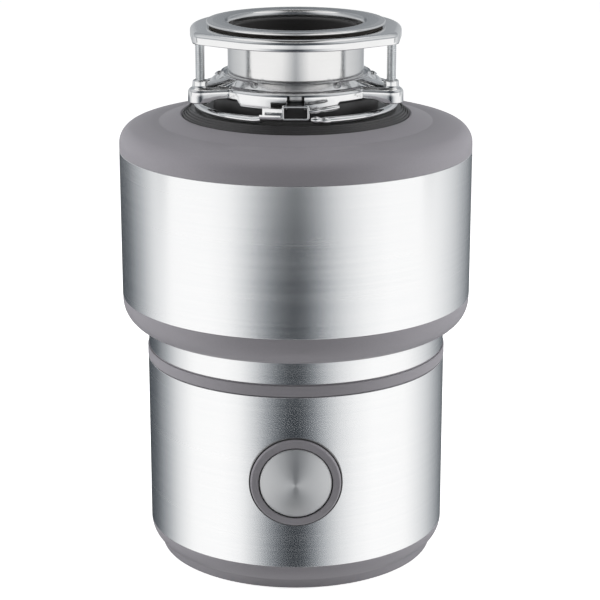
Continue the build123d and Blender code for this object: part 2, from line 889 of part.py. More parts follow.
lug_angles = (0, 180)
lug_places = [on_circle(lug_pivot_r, angle) for angle in lug_angles]
fixed_lug = (10.0, 6.0, 8.0)
hub_hole_r = shaft_end_r + lip_gap
with BuildPart() as shredder_plate:
    with BuildSketch(Plane.XY.offset(plate_z)):
        Circle(plate_r)
        Circle(hub_hole_r, mode=Mode.SUBTRACT)
        with Locations(*lug_places):
            Circle(rivet_r + lip_gap, mode=Mode.SUBTRACT)
        with PolarLocations(plate_r - 12, 6, start_angle=30):
            Circle(drain_hole_r, mode=Mode.SUBTRACT)
    extrude(amount=plate_t)
    with Locations((0, lug_pivot_r + 6, plate_top), (0, -lug_pivot_r - 6, plate_top)):
        Box(*fixed_lug, align=(Align.CENTER, Align.CENTER, Align.MIN))
write(shredder_plate, "shredder_plate")

lug_z = plate_top + slide_gap
for number, angle in enumerate(lug_angles, start=1):
    with BuildPart() as swivel_lug:
        with BuildSketch(Plane.XY.offset(lug_z).rotated((0, 0, angle))):
            with Locations((lug_pivot_r, 0)):
                Circle(lug_width / 2)
            with Locations((lug_pivot_r + lug_reach / 2, 0)):
                Rectangle(lug_reach, lug_width)
            with Locations((lug_pivot_r, 0)):
                Circle(rivet_r + run_gap, mode=Mode.SUBTRACT)
        extrude(amount=lug_t)
        with BuildSketch(Plane.XY.offset(lug_z).rotated((0, 0, angle))):
            with Locations((lug_pivot_r + lug_reach - lug_head_t / 2, 0)):
                Rectangle(lug_head_t, lug_width)
        extrude(amount=lug_head_h)
    write(swivel_lug, f"swivel_lug_{number}")

rivet_head_z = lug_z + lug_t + slide_gap
with BuildPart() as lug_rivets:
    with BuildSketch(Plane.XY.offset(plate_z)):
        with Locations(*lug_places):
            Circle(rivet_r)
    extrude(amount=rivet_head_z - plate_z)
    with BuildSketch(Plane.XY.offset(rivet_head_z)):
        with Locations(*lug_places):
            Circle(rivet_head_r)
    extrude(amount=2)
write(lug_rivets, "lug_rivets")

with BuildPart() as plate_nut:
    with BuildSketch(Plane.XY.offset(plate_top)):
        RegularPolygon(nut_flats / 2, 6, major_radius=False)
        Circle(hub_hole_r, mode=Mode.SUBTRACT)
    extrude(amount=nut_h)
write(plate_nut, "plate_nut")

undercutter_width = 14.0
with BuildPart() as undercutter:
    with BuildSketch(Plane.XY.offset(plate_z - undercutter_t)):
        SlotOverall(2 * undercutter_r, undercutter_width, rotation=45)
        Circle(hub_hole_r, mode=Mode.SUBTRACT)
    extrude(amount=undercutter_t)
write(undercutter, "undercutter")

# Sink mount

groove_r = throat_out_r - 0.7
snap_z = mount_plate_z - 2 * snap_ring_t
snap_top = snap_z + snap_ring_t
with BuildPart() as sink_flange:
    revolve(
        outline(
            (throat_r, throat_end_z),
            (throat_out_r, throat_end_z),
            (throat_out_r, snap_z - lip_gap),
            (groove_r, snap_z - lip_gap),
            (groove_r, snap_top + lip_gap),
            (throat_out_r, snap_top + lip_gap),
            (throat_out_r, flange_under_z - 2),
            (throat_out_r + 2, flange_under_z),
            (flange_r - 1, flange_under_z + 0.3),
            (flange_r, flange_under_z + 0.8),
            (flange_r, flange_z - 1.1),
            (flange_r - 0.9, flange_z - 0.3),
            (flange_r - 3, flange_z),
            (throat_r + 5, flange_z - 0.9),
            (throat_r + 2.4, flange_z - 1.6),
            (throat_r + 0.7, flange_z - 2.9),
            (throat_r, flange_z - 5),
        )
    )
write(sink_flange, "sink_flange")

gasket_in_r = clamp_in_r + gasket_bore_step
with BuildPart() as fibre_gasket:
    revolve(rect_section(gasket_in_r, clamp_r - gasket_edge_inset, clamp_plate_z, clamp_plate_z + gasket_t))
write(fibre_gasket, "fibre_gasket")

screw_places = [on_circle(mount_circle_r, angle) for angle in mount_angles]
with BuildPart() as backup_ring:
    with BuildSketch(Plane.XY.offset(clamp_plate_z - clamp_skirt_h)) as clamp_shape:
        Circle(clamp_r)
        with Locations(*screw_places):
            Circle(clamp_lobe_r)
        make_hull()
    extrude(amount=clamp_skirt_h)
    fillet(backup_ring.faces().sort_by(Axis.Z)[-1].edges(), clamp_sheet)
    with BuildSketch(Plane.XY.offset(clamp_plate_z - clamp_skirt_h)):
        add(clamp_shape.sketch_local)
        offset(amount=-clamp_sheet, mode=Mode.REPLACE)
    extrude(amount=clamp_skirt_h - clamp_sheet, mode=Mode.SUBTRACT)
    with BuildSketch(Plane.XY.offset(clamp_plate_z - clamp_skirt_h)):
        Circle(clamp_in_r)
    extrude(amount=clamp_skirt_h, mode=Mode.SUBTRACT)
write(backup_ring, "backup_ring")

screw_z = mount_skirt_z + screw_inset
screw_top = clamp_plate_z - clamp_sheet
with BuildPart() as mounting_screws:
    with BuildSketch(Plane.XY.offset(screw_z)):
        with Locations(*screw_places):
            Circle(screw_r)
    extrude(amount=screw_top - screw_z)
write(mounting_screws, "mounting_screws")

mount_in_r = throat_out_r + 0.5
skirt_in_r = mount_skirt_r - clamp_sheet
dimple_r = 2.6
dimple_h = 2.2
dimple_turn = 32
dimple_circle_r = mount_skirt_r - 7.7
tab_slot_width = 10.4
tab_slot_h = 8.7
ear_base = 30.0
gusset_width = 16.0
hook_angles = [angle + 60 for angle in mount_angles]
with BuildPart() as upper_mounting_ring:
    revolve(
        outline(
            (mount_in_r, mount_plate_z),
            (mount_in_r, snap_top),
            (snap_ring_r, snap_top),
            (skirt_in_r - 3, mount_skirt_top_z - clamp_sheet),
            (skirt_in_r, mount_skirt_top_z - 2 * clamp_sheet),
            (skirt_in_r, mount_skirt_z),
            (mount_skirt_r, mount_skirt_z),
            (mount_skirt_r, mount_skirt_top_z - clamp_sheet),
            (mount_skirt_r - clamp_sheet, mount_skirt_top_z),
            (snap_ring_r + 1, mount_plate_z),
        )
    )
    for angle in mount_angles:
        with BuildSketch(Plane.XY.offset(ear_z).rotated((0, 0, angle))):
            with Locations((mount_circle_r, 0)):
                Circle(ear_r)
            with Locations((mount_skirt_r - clamp_sheet / 2, 0)):
                Rectangle(clamp_sheet / 2, ear_base)
            make_hull()
        extrude(amount=ear_top_z - ear_z)
        with BuildSketch(Plane.XZ.rotated((0, 0, angle))):
            with BuildLine():
                Polyline(
                    (snap_ring_r + 1, mount_plate_z),
                    (mount_circle_r - ear_r, ear_top_z),
                    (skirt_in_r, ear_top_z),
                    (snap_ring_r + 1, snap_top),
                    close=True,
                )
            make_face()
        extrude(amount=gusset_width / 2, both=True)
        revolve(
            rect_section(skirt_in_r - 1, mount_skirt_r + 0.5, mount_skirt_z - 1, mount_notch_z).rotate(
                Axis.Z, angle - mount_notch_angle / 2
            ),
            revolution_arc=mount_notch_angle,
            mode=Mode.SUBTRACT,
        )
    with BuildSketch(Plane.XY.offset(ear_top_z)):
        with Locations(*screw_places):
            Circle(collar_r)
    extrude(amount=collar_top_z - ear_top_z, taper=6)
    with BuildSketch(Plane.XY.offset(mount_skirt_z)):
        with Locations(*screw_places):
            Circle(screw_r + slide_gap)
    extrude(amount=collar_top_z - mount_skirt_z, mode=Mode.SUBTRACT)
    for angle in hook_angles:
        with BuildSketch(Plane.XY.offset(mount_skirt_top_z)):
            with Locations(*[on_circle(dimple_circle_r, angle + side) for side in (-dimple_turn, dimple_turn)]):
                Circle(dimple_r)
        extrude(amount=dimple_h, taper=20)
        with BuildSketch(Plane.YZ.rotated((0, 0, angle)).offset(skirt_in_r - 1)):
            with Locations((0, mount_skirt_z)):
                Rectangle(tab_slot_width, 2 * tab_slot_h)
        extrude(amount=2 * clamp_sheet, mode=Mode.SUBTRACT)
write(upper_mounting_ring, "upper_mounting_ring")

with BuildPart() as snap_ring:
    revolve(rect_section(groove_r + lip_gap, snap_ring_r, snap_z, snap_top))
    with Locations((0, snap_ring_r, snap_z)):
        Box(3, snap_ring_r / 2, 4 * snap_ring_t, mode=Mode.SUBTRACT)
write(snap_ring, "snap_ring")

# Locking ring below: a rolled bead with three wrench loops, each between a rolled tube and two prongs
loop_gap = 2 * slide_gap
loop_size = (15.4, 9.0)
loop_window = (11.4, 5.4)
loop_t = 3.0
loop_rise = 4.3
loop_z = bead_z + loop_rise
tube_r = 4.5
tube_bore_r = 3.0
tube_length = 12.0
tube_rise = 5.2
tube_z = bead_z + tube_rise
tube_shift = 14.202617
prong_r = 2.4
prong_length = 20.0
prong_rise = 7.0
prong_z = bead_z + prong_rise
prong_shift = 17.043140
loop_in_r = mount_skirt_r + loop_gap
tube_turn = degrees(tube_shift / (loop_in_r + tube_r))
prong_turn = degrees(prong_shift / (loop_in_r + prong_r))


def tangent_plane(radius, angle, height):
    """Plane square to the circle's tangent, for a rod that runs along the rim."""
    return Plane(
        on_circle(radius, angle, height),
        x_dir=(0, 0, 1),
        z_dir=(-sin(radians(angle)), cos(radians(angle)), 0),
    )


with BuildPart() as lower_mounting_ring:
    with BuildSketch(Plane.XZ):
        with Locations((bead_r, bead_z)):
            Circle(bead_tube_r)
    revolve(axis=Axis.Z)
    for angle in hook_angles:
        with BuildSketch(Plane.YZ.rotated((0, 0, angle)).offset(loop_in_r)):
            with Locations((0, loop_z)):
                Rectangle(*loop_size)
                Rectangle(*loop_window, mode=Mode.SUBTRACT)
        extrude(amount=loop_t)
        with BuildSketch(tangent_plane(loop_in_r + tube_r, angle - tube_turn, tube_z)):
            Circle(tube_r)
            Circle(tube_bore_r, mode=Mode.SUBTRACT)
        extrude(amount=tube_length / 2, both=True)
        with BuildSketch(tangent_plane(loop_in_r + prong_r, angle + prong_turn, prong_z)):
            Circle(prong_r)
        extrude(amount=prong_length / 2, both=True)
write(lower_mounting_ring, "lower_mounting_ring")

bead_seat_z = bead_z - bead_tube_r - slide_gap
seat_out_r = bead_r + bead_tube_r + 2
rib_pitch = (cushion_r - seat_out_r) / rib_count
rib_rise = (bead_seat_z - cushion_edge_z) / rib_count
rib_points = []
for rib in range(rib_count):
    rib_r = cushion_r - rib * rib_pitch
    rib_z = cushion_edge_z + rib * rib_rise
    rib_points.append((rib_r, rib_z))
    rib_points.append((rib_r - rib_pitch * 0.45, rib_z + rib_rise + rib_depth))
    rib_points.append((rib_r - rib_pitch * 0.8, rib_z + rib_rise - rib_depth))
with BuildPart() as cushion_mount:
    revolve(
        outline(
            (cushion_bore_r, hopper_lip_z),
            (hopper_lip_r + slide_gap, hopper_lip_z),
            (hopper_lip_r + slide_gap, throat_collar_z - 0.8),
            (cushion_r - 2, cushion_flange_z),
            (cushion_flange_r, cushion_flange_z),
            (cushion_flange_r, cushion_flange_top),
            (cushion_r, cushion_flange_top),
            *rib_points,
            (seat_out_r, bead_seat_z),
            (cushion_column_r, bead_seat_z),
            (cushion_column_r, throat_end_z),
            (cushion_bore_r, throat_end_z),
        )
    )
write(cushion_mount, "cushion_mount")

baffle_r = throat_r - slide_gap - baffle_slack
baffle_in_r = baffle_r - baffle_wall
with BuildPart() as sink_baffle:
    revolve(rect_section(baffle_in_r, baffle_r, throat_end_z + slide_gap, baffle_top_z))
write(sink_baffle, "sink_baffle")

flap_count = 6
flap_slit = 1.6
flap_slit_inset = 4.5
flap_slit_end_r = baffle_in_r - flap_slit_inset
with BuildPart() as baffle_flaps:
    revolve(
        outline(
            (baffle_hole_r, baffle_floor_z),
            (baffle_in_r, baffle_floor_z + baffle_slope),
            (baffle_in_r, baffle_floor_z + baffle_slope + baffle_wall),
            (baffle_hole_r, baffle_floor_z + baffle_wall),
        )
    )
    with BuildSketch(Plane.XY.offset(baffle_floor_z)):
        with PolarLocations((baffle_hole_r + flap_slit_end_r) / 2, flap_count):
            Rectangle(flap_slit_end_r - baffle_hole_r + 4, flap_slit)
    extrude(amount=4 * baffle_wall, mode=Mode.SUBTRACT)
write(baffle_flaps, "baffle_flaps")
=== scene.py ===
"""Looks of a kitchen garbage disposal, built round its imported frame.

Sizes are in millimetres and become metres where a mesh is made. The axis is Z and the front faces -Y.
"""

import logging
from collections.abc import Callable, Sequence
from dataclasses import dataclass, field
from enum import Enum
from math import acos, atan2, cos, degrees, pi, radians, sin, sqrt, tan

import bmesh
import bpy
from mathutils import Matrix, Vector


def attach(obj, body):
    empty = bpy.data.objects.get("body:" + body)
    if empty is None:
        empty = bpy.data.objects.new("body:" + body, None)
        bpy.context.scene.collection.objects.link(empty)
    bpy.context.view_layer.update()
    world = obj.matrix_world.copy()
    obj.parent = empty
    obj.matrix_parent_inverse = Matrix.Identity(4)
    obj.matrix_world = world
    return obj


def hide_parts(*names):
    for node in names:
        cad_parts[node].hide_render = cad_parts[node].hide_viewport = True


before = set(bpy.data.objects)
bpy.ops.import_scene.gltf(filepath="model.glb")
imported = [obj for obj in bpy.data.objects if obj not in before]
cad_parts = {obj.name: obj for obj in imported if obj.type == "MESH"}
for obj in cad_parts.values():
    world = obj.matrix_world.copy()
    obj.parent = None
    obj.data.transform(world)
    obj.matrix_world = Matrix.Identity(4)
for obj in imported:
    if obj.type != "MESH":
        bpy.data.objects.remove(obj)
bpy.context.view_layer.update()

LOG = logging.getLogger("disposal")
MM = 0.001
Pair = tuple[float, float]
Triple = tuple[float, float, float]
Ring = Sequence[Vector]
Corners = Sequence[Pair | Triple]
Card = tuple[Pair, ...]
Piece = bpy.types.Object
Socket = bpy.types.NodeSocket
Inputs = dict[str | int, object]

UPRIGHT = Matrix.Identity(4)
CREASE = 38.0
WELD = 0.002
SLIVER = 0.001
# Share of an edge that a rounding may take, and how far past the rounding its holding points stand.
SOFT_ROOM = 0.47
HOLD = 1.3
HOLD_LEAST = 1.05
HOLD_ROOM = 1.04
# Sizes and places that several sub-assemblies share.
WRAPPER_SHEET = 0.8
POST_CIRCLE_R = 69.0
POST_ANGLES = (30.0, 150.0, 270.0)
RESET_AT = (-45.0, -30.0)
TERMINAL_Y = 50.0
INLET_ANGLE = 130.0
INLET_Z = 241.0
MOUNT_ANGLES = (-30.0, -150.0, 90.0)
HOOK_ANGLES = (30.0, -90.0, 150.0)
MOUNT_CIRCLE_R = 66.8


class Body(Enum):
    """The bodies of the frame that pieces ride on."""

    HOUSING = "housing"
    CLAMP = "sink_clamp"
    LOCK_RING = "lock_ring"
    RESET = "reset_button"
    BAFFLE = "baffle"


class Axis(Enum):
    """Axes that a surface may be brushed round."""

    Y = "Y"
    Z = "Z"


class Slot(Enum):
    """The record's material slots."""

    POLISHED = "polished_steel"
    BAND = "brushed_band"
    PLASTIC = "grey_plastic"
    RUBBER = "black_rubber"
    ZINC = "zinc_steel"
    FIBRE = "grey_fibre"
    FOAM = "foam"
    BLACK_PLASTIC = "black_plastic"
    STAINLESS = "stainless"
    CAST = "cast_aluminium"
    BRONZE = "bronze"
    LAMINATION = "lamination"
    COPPER = "copper"
    SHAFT = "shaft_steel"
    RED_PLASTIC = "red_plastic"


def on_circle(radius: float, angle: float, height: float = 0.0) -> Vector:
    """Point on a circle about the axis, at an angle in degrees from +X."""
    return Vector((radius * cos(radians(angle)), radius * sin(radians(angle)), height))


def smooth_step(low: float, high: float, value: float) -> float:
    """Soft step of a value, from 0 at low to 1 at high."""
    share = min(1.0, max(0.0, (value - low) / (high - low)))
    return share * share * (3 - 2 * share)


def mix(first: float, second: float, share: float) -> float:
    """Value between first and second, in proportion to share."""
    return first + (second - first) * share


def shares(steps: int) -> list[float]:
    """Shares from 0 to 1 in equal steps."""
    return [step / steps for step in range(steps + 1)]


def off_nearest(angle: float, centres: Sequence[float]) -> float:
    """Signed angle in degrees from the nearest of some centres."""
    return min(((angle - centre + 180) % 360 - 180 for centre in centres), key=abs)


def arc(centre: Pair, radius: float, start: float, end: float, steps: int) -> list[Pair]:
    """Corners along an arc of a section, between two angles in degrees."""
    angles = [radians(mix(start, end, share)) for share in shares(steps)]
    return [(centre[0] + radius * cos(angle), centre[1] + radius * sin(angle)) for angle in angles]


def boxed(wide: float, high: float, soft: float) -> Corners:
    """Corners of a rectangle about the origin, all as soft."""
    x, y = wide / 2, high / 2
    return [(-x, -y, soft), (x, -y, soft), (x, y, soft), (-x, y, soft)]


def softened(corners: Corners, closed: bool = True, steps: int = 5) -> list[Pair]:
    """Turns corners into section points with rounded edges.

    Each rounded edge gets a holding point on both of its sides, so that the faces beside it shade flat.

    Args:
        corners: Corners in order, as (radius, height) and the radius of the rounding, if there is one.
        closed: Whether the last corner joins the first.
        steps: Parts of each rounding.

    Returns:
        The section's points.
    """
    points: list[Pair] = []
    count = len(corners)
    for index, corner in enumerate(corners):
        if len(corner) < 3 or not closed and index in (0, count - 1):
            points.append(corner[:2])
            continue
        here = Vector(corner[:2])
        back = Vector(corners[index - 1][:2]) - here
        ahead = Vector(corners[(index + 1) % count][:2]) - here
        half = back.angle(ahead) / 2
        room = SOFT_ROOM * min(back.length, ahead.length)
        reach = min(corner[2] / tan(half), room)
        radius = reach * tan(half)
        back.normalize()
        ahead.normalize()
        centre = here + (back + ahead).normalized() * (radius / sin(half))
        start = here + back * reach - centre
        turn = (pi - 2 * half) * (1 if back.cross(ahead) < 0 else -1)
        hold = min(HOLD * reach, room * HOLD_ROOM)
        holds = hold > reach * HOLD_LEAST
        if holds:
            points.append(tuple(here + back * hold))
        for step in range(steps + 1):
            angle = turn * step / steps
            x = start.x * cos(angle) - start.y * sin(angle)
            y = start.x * sin(angle) + start.y * cos(angle)
            points.append(tuple(centre + Vector((x, y))))
        if holds:
            points.append(tuple(here + ahead * hold))
    return points


class Form:
    """Collects points and faces in millimetres and turns them into one object."""

    def __init__(self) -> None:
        """Starts an empty form."""
        self.points: list[Vector] = []
        self.faces: list[tuple[int, ...]] = []

    def sheet(self, rows: Sequence[Ring], loop_rows: bool = True, loop_points: bool = True) -> "Form":
        """Adds quads through rows of points.

        Args:
            rows: Rows of equally many points.
            loop_rows: Whether the last row joins the first.
            loop_points: Whether each row's last point joins its first.

        Returns:
            The form.
        """
        base, width = len(self.points), len(rows[0])
        for row in rows:
            self.points.extend(row)
        for i in range(len(rows) if loop_rows else len(rows) - 1):
            low, high = base + i * width, base + (i + 1) % len(rows) * width
            for j in range(width if loop_points else width - 1):
                k = (j + 1) % width
                self.faces.append((low + j, low + k, high + k, high + j))
        return self

    def bar(self, rings: Sequence[Ring]) -> "Form":
        """Adds a solid through rings of points.

        Args:
            rings: The rings, of which the first and the last get a flat lid.

        Returns:
            The form.
        """
        self.sheet(rings, loop_rows=False)
        for ring in (rings[0], rings[-1]):
            base = len(self.points)
            self.points.extend(ring)
            self.faces.append(tuple(range(base, base + len(ring))))
        return self

    def lathe(
        self, section: Sequence[Pair], segments: int = 160, closed: bool = True, place: Matrix = UPRIGHT
    ) -> "Form":
        """Turns a section about an axis.

        Args:
            section: Points as (radius, height).
            segments: Steps round the axis.
            closed: Whether the section's last point joins its first.
            place: Where the axis stands.

        Returns:
            The form.
        """
        rows = []
        for step in range(segments):
            angle = 2 * pi * step / segments
            rows.append([place @ Vector((r * cos(angle), r * sin(angle), z)) for r, z in section])
        return self.sheet(rows, loop_points=closed)

    def sweep(self, path: Ring, section: Sequence[Pair], up: Vector, closed: bool = False) -> None:
        """Draws a closed section along a path.

        Args:
            path: Points of the path.
            section: Points as (sideways, along up).
            up: A direction square to the path.
            closed: Whether the path is a loop.
        """
        rows = []
        last = len(path) - 1
        for index, point in enumerate(path):
            before = path[index - 1] if closed or index else point
            after = path[(index + 1) % len(path)] if closed or index < last else point
            side = (after - before).normalized().cross(up)
            rows.append([point + side * s + up * t for s, t in section])
        if closed:
            self.sheet(rows)
        else:
            self.bar(rows)

    def round_bar(self, spine: Ring, radii: Sequence[float], sides: int = 24) -> None:
        """Adds a closed round bar whose thickness changes along its length.

        Args:
            spine: Points along its middle.
            radii: Its radius at each point.
            sides: Sides of its round.
        """
        rows = []
        last = len(spine) - 1
        for index, (point, radius) in enumerate(zip(spine, radii)):
            along = (spine[min(index + 1, last)] - spine[max(index - 1, 0)]).normalized()
            out = Vector((point.x, point.y, 0)).normalized()
            side = (out - along * out.dot(along)).normalized()
            up = along.cross(side)
            section = [on_circle(radius, 360 * turn / sides) for turn in range(sides)]
            rows.append([point + side * spoke.x + up * spoke.y for spoke in section])
        self.bar(rows)

    def build(self, name: str, crease: float = CREASE) -> Piece:
        """Makes the object.

        Args:
            name: The piece's name.
            crease: Angle in degrees past which an edge stays sharp.

        Returns:
            The object, linked to the scene.
        """
        mesh = bpy.data.meshes.new(name)
        mesh.from_pydata([point * MM for point in self.points], [], self.faces)
        work = bmesh.new()
        work.from_mesh(mesh)
        bmesh.ops.remove_doubles(work, verts=work.verts, dist=WELD * MM)
        bmesh.ops.dissolve_degenerate(work, edges=work.edges, dist=SLIVER * MM)
        bmesh.ops.recalc_face_normals(work, faces=work.faces)
        work.to_mesh(mesh)
        work.free()
        piece = bpy.data.objects.new(name, mesh)
        bpy.context.scene.collection.objects.link(piece)
        shade(piece, crease)
        return piece


def shade(piece: Piece, crease: float = CREASE) -> None:
    """Shades a piece smoothly, with sharp edges past an angle in degrees."""
    piece.data.shade_smooth()
    piece.data.set_sharp_from_angle(angle=radians(crease))


def turned(name: str, corners: Corners, segments: int = 160) -> Piece:
    """Turned piece from the corners of its closed section."""
    return Form().lathe(softened(corners), segments).build(name)


def carve(piece: Piece, tool: Piece) -> None:
    """Cuts a tool out of a piece and removes the tool.

    Args:
        piece: The piece that changes.
        tool: The solid that cuts it.
    """
    modifier = piece.modifiers.new("carve", "BOOLEAN")
    modifier.object = tool
    modifier.operation = "DIFFERENCE"
    modifier.solver = "EXACT"
    graph = bpy.context.evaluated_depsgraph_get()
    mesh = bpy.data.meshes.new_from_object(piece.evaluated_get(graph))
    piece.modifiers.clear()
    spent = (piece.data, tool.data)
    piece.data = mesh
    bpy.data.objects.remove(tool, do_unlink=True)
    for old in spent:
        bpy.data.meshes.remove(old)
    shade(piece)


def along(start: Vector, axis: Vector) -> Matrix:
    """Place of a form whose own axis runs from a start along an axis."""
    return Matrix.Translation(start) @ axis.to_track_quat("Z", "Y").to_matrix().to_4x4()


def rod(radius: float, start: Vector, end: Vector, sides: int = 48) -> Piece:
    """Plain round rod for cutting holes, between the middles of its ends."""
    section = [(0, 0), (radius, 0), (radius, (end - start).length), (0, (end - start).length)]
    return Form().lathe(section, sides, False, along(start, end - start)).build("rod")


def bore(piece: Piece, radius: float, at: Vector, span: Pair, sides: int = 48) -> None:
    """Bores an upright hole into a piece, through a span of heights."""
    carve(piece, rod(radius, *(Vector((at.x, at.y, height)) for height in span), sides))


def block(centre: Vector, size: Triple, turn: float = 0.0) -> Piece:
    """Plain block for cutting.

    Args:
        centre: Its middle.
        size: Its sizes along X, Y and Z.
        turn: Its turn about Z in degrees.

    Returns:
        The block.
    """
    wide, deep, high = size
    place = Matrix.Translation(centre) @ Matrix.Rotation(radians(turn), 4, "Z")
    rings = [[place @ Vector((x, y, z)) for x, y, _ in boxed(wide, deep, 0.0)] for z in (-high / 2, high / 2)]
    return Form().bar(rings).build("block")


@dataclass
class Outline:
    """Closed outline round the axis with evenly spaced points and their outward normals."""

    points: list[Vector]
    normals: list[Vector]

    @classmethod
    def traced(cls, trace: Sequence[Pair], spacing: float) -> "Outline":
        """Spaces points evenly along a finely drawn outline that runs anticlockwise.

        Args:
            trace: The drawn points, as a loop.
            spacing: About how far apart the points come.

        Returns:
            The outline.
        """
        drawn = [Vector(point) for point in trace]
        drawn.append(drawn[0].copy())
        lengths = [0.0]
        for first, second in zip(drawn, drawn[1:]):
            lengths.append(lengths[-1] + (second - first).length)
        count = round(lengths[-1] / spacing)
        points, normals = [], []
        index = 0
        for step in range(count):
            reach = lengths[-1] * step / count
            while lengths[index + 1] < reach:
                index += 1
            share = (reach - lengths[index]) / max(1e-9, lengths[index + 1] - lengths[index])
            points.append(drawn[index].lerp(drawn[index + 1], share))
        for step in range(count):
            run = points[(step + 1) % count] - points[step - 1]
            normals.append(Vector((run.y, -run.x)).normalized())
        return cls(points, normals)

    @classmethod
    def lobed(
        cls, radius: float, lobe_r: float, centre_r: float, angles: Sequence[float], spacing: float
    ) -> "Outline":
        """Outline of a disc with round lobes, joined by straight tangents.

        Args:
            radius: The disc's radius.
            lobe_r: Each lobe's radius.
            centre_r: Distance of the lobes' centres from the axis.
            angles: Angles of the lobes in degrees.
            spacing: About how far apart the points come.

        Returns:
            The outline.
        """
        reach = degrees(acos((radius - lobe_r) / centre_r))
        trace = []
        steps = 1440
        for step in range(steps):
            angle = 360 * step / steps
            spoke = on_circle(1.0, angle).to_2d()
            point = spoke * radius
            for lobe in angles:
                if abs((angle - lobe + 180) % 360 - 180) < reach:
                    point = on_circle(centre_r, lobe).to_2d() + spoke * lobe_r
            trace.append(tuple(point))
        return cls.traced(trace, spacing)

    def ring(self, inset: float, height: Callable[[int], float]) -> list[Vector]:
        """Ring of points inside the outline, each at the height that its index gives."""
        flat = [point - normal * inset for point, normal in zip(self.points, self.normals)]
        return [Vector((point.x, point.y, height(index))) for index, point in enumerate(flat)]

    def circle(self, radius: float, height: float) -> list[Vector]:
        """Circle with a point in line with each of the outline's points."""
        return [Vector((*(point.normalized() * radius), height)) for point in self.points]


class Wires:
    """Wires the nodes of one material or of the world."""

    def __init__(self, owner: bpy.types.Material | bpy.types.World) -> None:
        """Clears the owner's nodes.

        Args:
            owner: The material or world whose nodes are made anew.
        """
        owner.use_nodes = True
        self.tree = owner.node_tree
        self.tree.nodes.clear()

    def add(self, kind: str, inputs: Inputs | None = None, **settings: str) -> bpy.types.Node:
        """Adds a node.

        Args:
            kind: The node's type.
            inputs: Values or sockets for its inputs, by name or number.
            settings: Its settings, by name.

        Returns:
            The node.
        """
        node = self.tree.nodes.new(kind)
        for name, setting in settings.items():
            setattr(node, name, setting)
        for name, value in (inputs or {}).items():
            if isinstance(value, Socket):
                self.tree.links.new(value, node.inputs[name])
            else:
                node.inputs[name].default_value = value
        return node

    def where(self) -> Socket:
        """The piece's own coordinates."""
        return self.add("ShaderNodeTexCoord").outputs["Object"]

    def math(self, operation: str, *values: Socket | float) -> Socket:
        """Result of an operation on one value or two."""
        return self.add("ShaderNodeMath", dict(enumerate(values)), operation=operation).outputs[0]

    def noise(self, grain: Triple) -> Socket:
        """Noise in the piece's own coordinates, with so many grains per metre along X, Y and Z."""
        place = self.add("ShaderNodeMapping", {"Vector": self.where(), "Scale": grain}).outputs["Vector"]
        return self.add("ShaderNodeTexNoise", {"Vector": place, "Scale": 1.0, "Detail": 3.0}).outputs["Fac"]

    def spread(self, value: Socket, low: float, high: float, span: Pair = (0.3, 0.7)) -> Socket:
        """Spreads a span of a value, such as the middle of a noise, between two numbers."""
        inputs = {"Value": value, "From Min": span[0], "From Max": span[1], "To Min": low, "To Max": high}
        return self.add("ShaderNodeMapRange", inputs).outputs["Result"]

    def ramp(self, value: Socket, stops: Sequence[tuple[float, Sequence[float]]]) -> Socket:
        """Colour that changes with a value.

        Args:
            value: The value.
            stops: Places from 0 to 1, each with the colour there.

        Returns:
            The colour.
        """
        ramp = self.add("ShaderNodeValToRGB", {"Fac": value})
        elements = ramp.color_ramp.elements
        while len(elements) < len(stops):
            elements.new(0.5)
        for element, (place, colour) in zip(elements, stops):
            element.position = place
            element.color = (*colour, 1.0)
        return ramp.outputs["Color"]

    def shades(self, value: Socket, colour: Triple, tint: float) -> Socket:
        """Colour that a noise makes darker and lighter by a share of it."""
        stops = ((0.3, 1 - tint), (0.7, 1 + tint))
        return self.ramp(value, [(place, [min(1.0, part * share) for part in colour]) for place, share in stops])

    def end(self, kind: str, inputs: Inputs) -> None:
        """Ends a material in one shader with these inputs."""
        shader = self.add(kind, inputs)
        self.add("ShaderNodeOutputMaterial", {"Surface": shader.outputs["BSDF"]})


@dataclass(frozen=True)
class Finish:
    """Finish of a surface: its colour, gloss and fine grain."""

    name: str
    slot: Slot
    colour: Triple
    roughness: float
    spread: float
    grain: Triple
    depth: float
    tint: float = 0.06
    broad_grain: Triple = (25.0, 25.0, 25.0)

    def material(self) -> bpy.types.Material:
        """Makes the material.

        Returns:
            The material, with its nodes wired.
        """
        material = bpy.data.materials.new(self.name)
        wires = Wires(material)
        fine = wires.noise(self.grain)
        both = wires.math("MULTIPLY", wires.math("ADD", fine, wires.noise(self.broad_grain)), 0.5)
        relief = wires.add("ShaderNodeBump", {"Height": fine, "Distance": self.depth * MM, "Strength": 1.0})
        inputs = {
            "Base Color": wires.shades(both, self.colour, self.tint),
            "Roughness": wires.spread(both, self.roughness - self.spread, self.roughness + self.spread),
            "Normal": relief.outputs["Normal"],
        }
        wires.end("ShaderNodeBsdfPrincipled", inputs | self.gloss(wires))
        return material

    def gloss(self, wires: Wires) -> Inputs:
        """What this kind of surface has besides colour and grain."""
        return {}


@dataclass(frozen=True)
class MetalFinish(Finish):
    """Bare metal, plain or brushed round an axis."""

    brushing: float = 0.0
    axis: Axis = Axis.Z

    def gloss(self, wires: Wires) -> Inputs:
        """Metal, with highlights drawn across its brushing."""
        tangent = wires.add("ShaderNodeTangent", direction_type="RADIAL", axis=self.axis.value).outputs["Tangent"]
        return {"Metallic": 1.0, "Anisotropic": self.brushing, "Anisotropic Rotation": 0.25, "Tangent": tangent}


@dataclass(frozen=True)
class MouldedFinish(Finish):
    """Moulded plastic, rubber, foam or fibre."""

    specular: float = 0.5
    sheen: float = 0.0

    def gloss(self, wires: Wires) -> Inputs:
        """How much light the surface throws back, and its sheen."""
        return {"Specular IOR Level": self.specular, "Sheen Weight": self.sheen, "Sheen Roughness": 0.5}


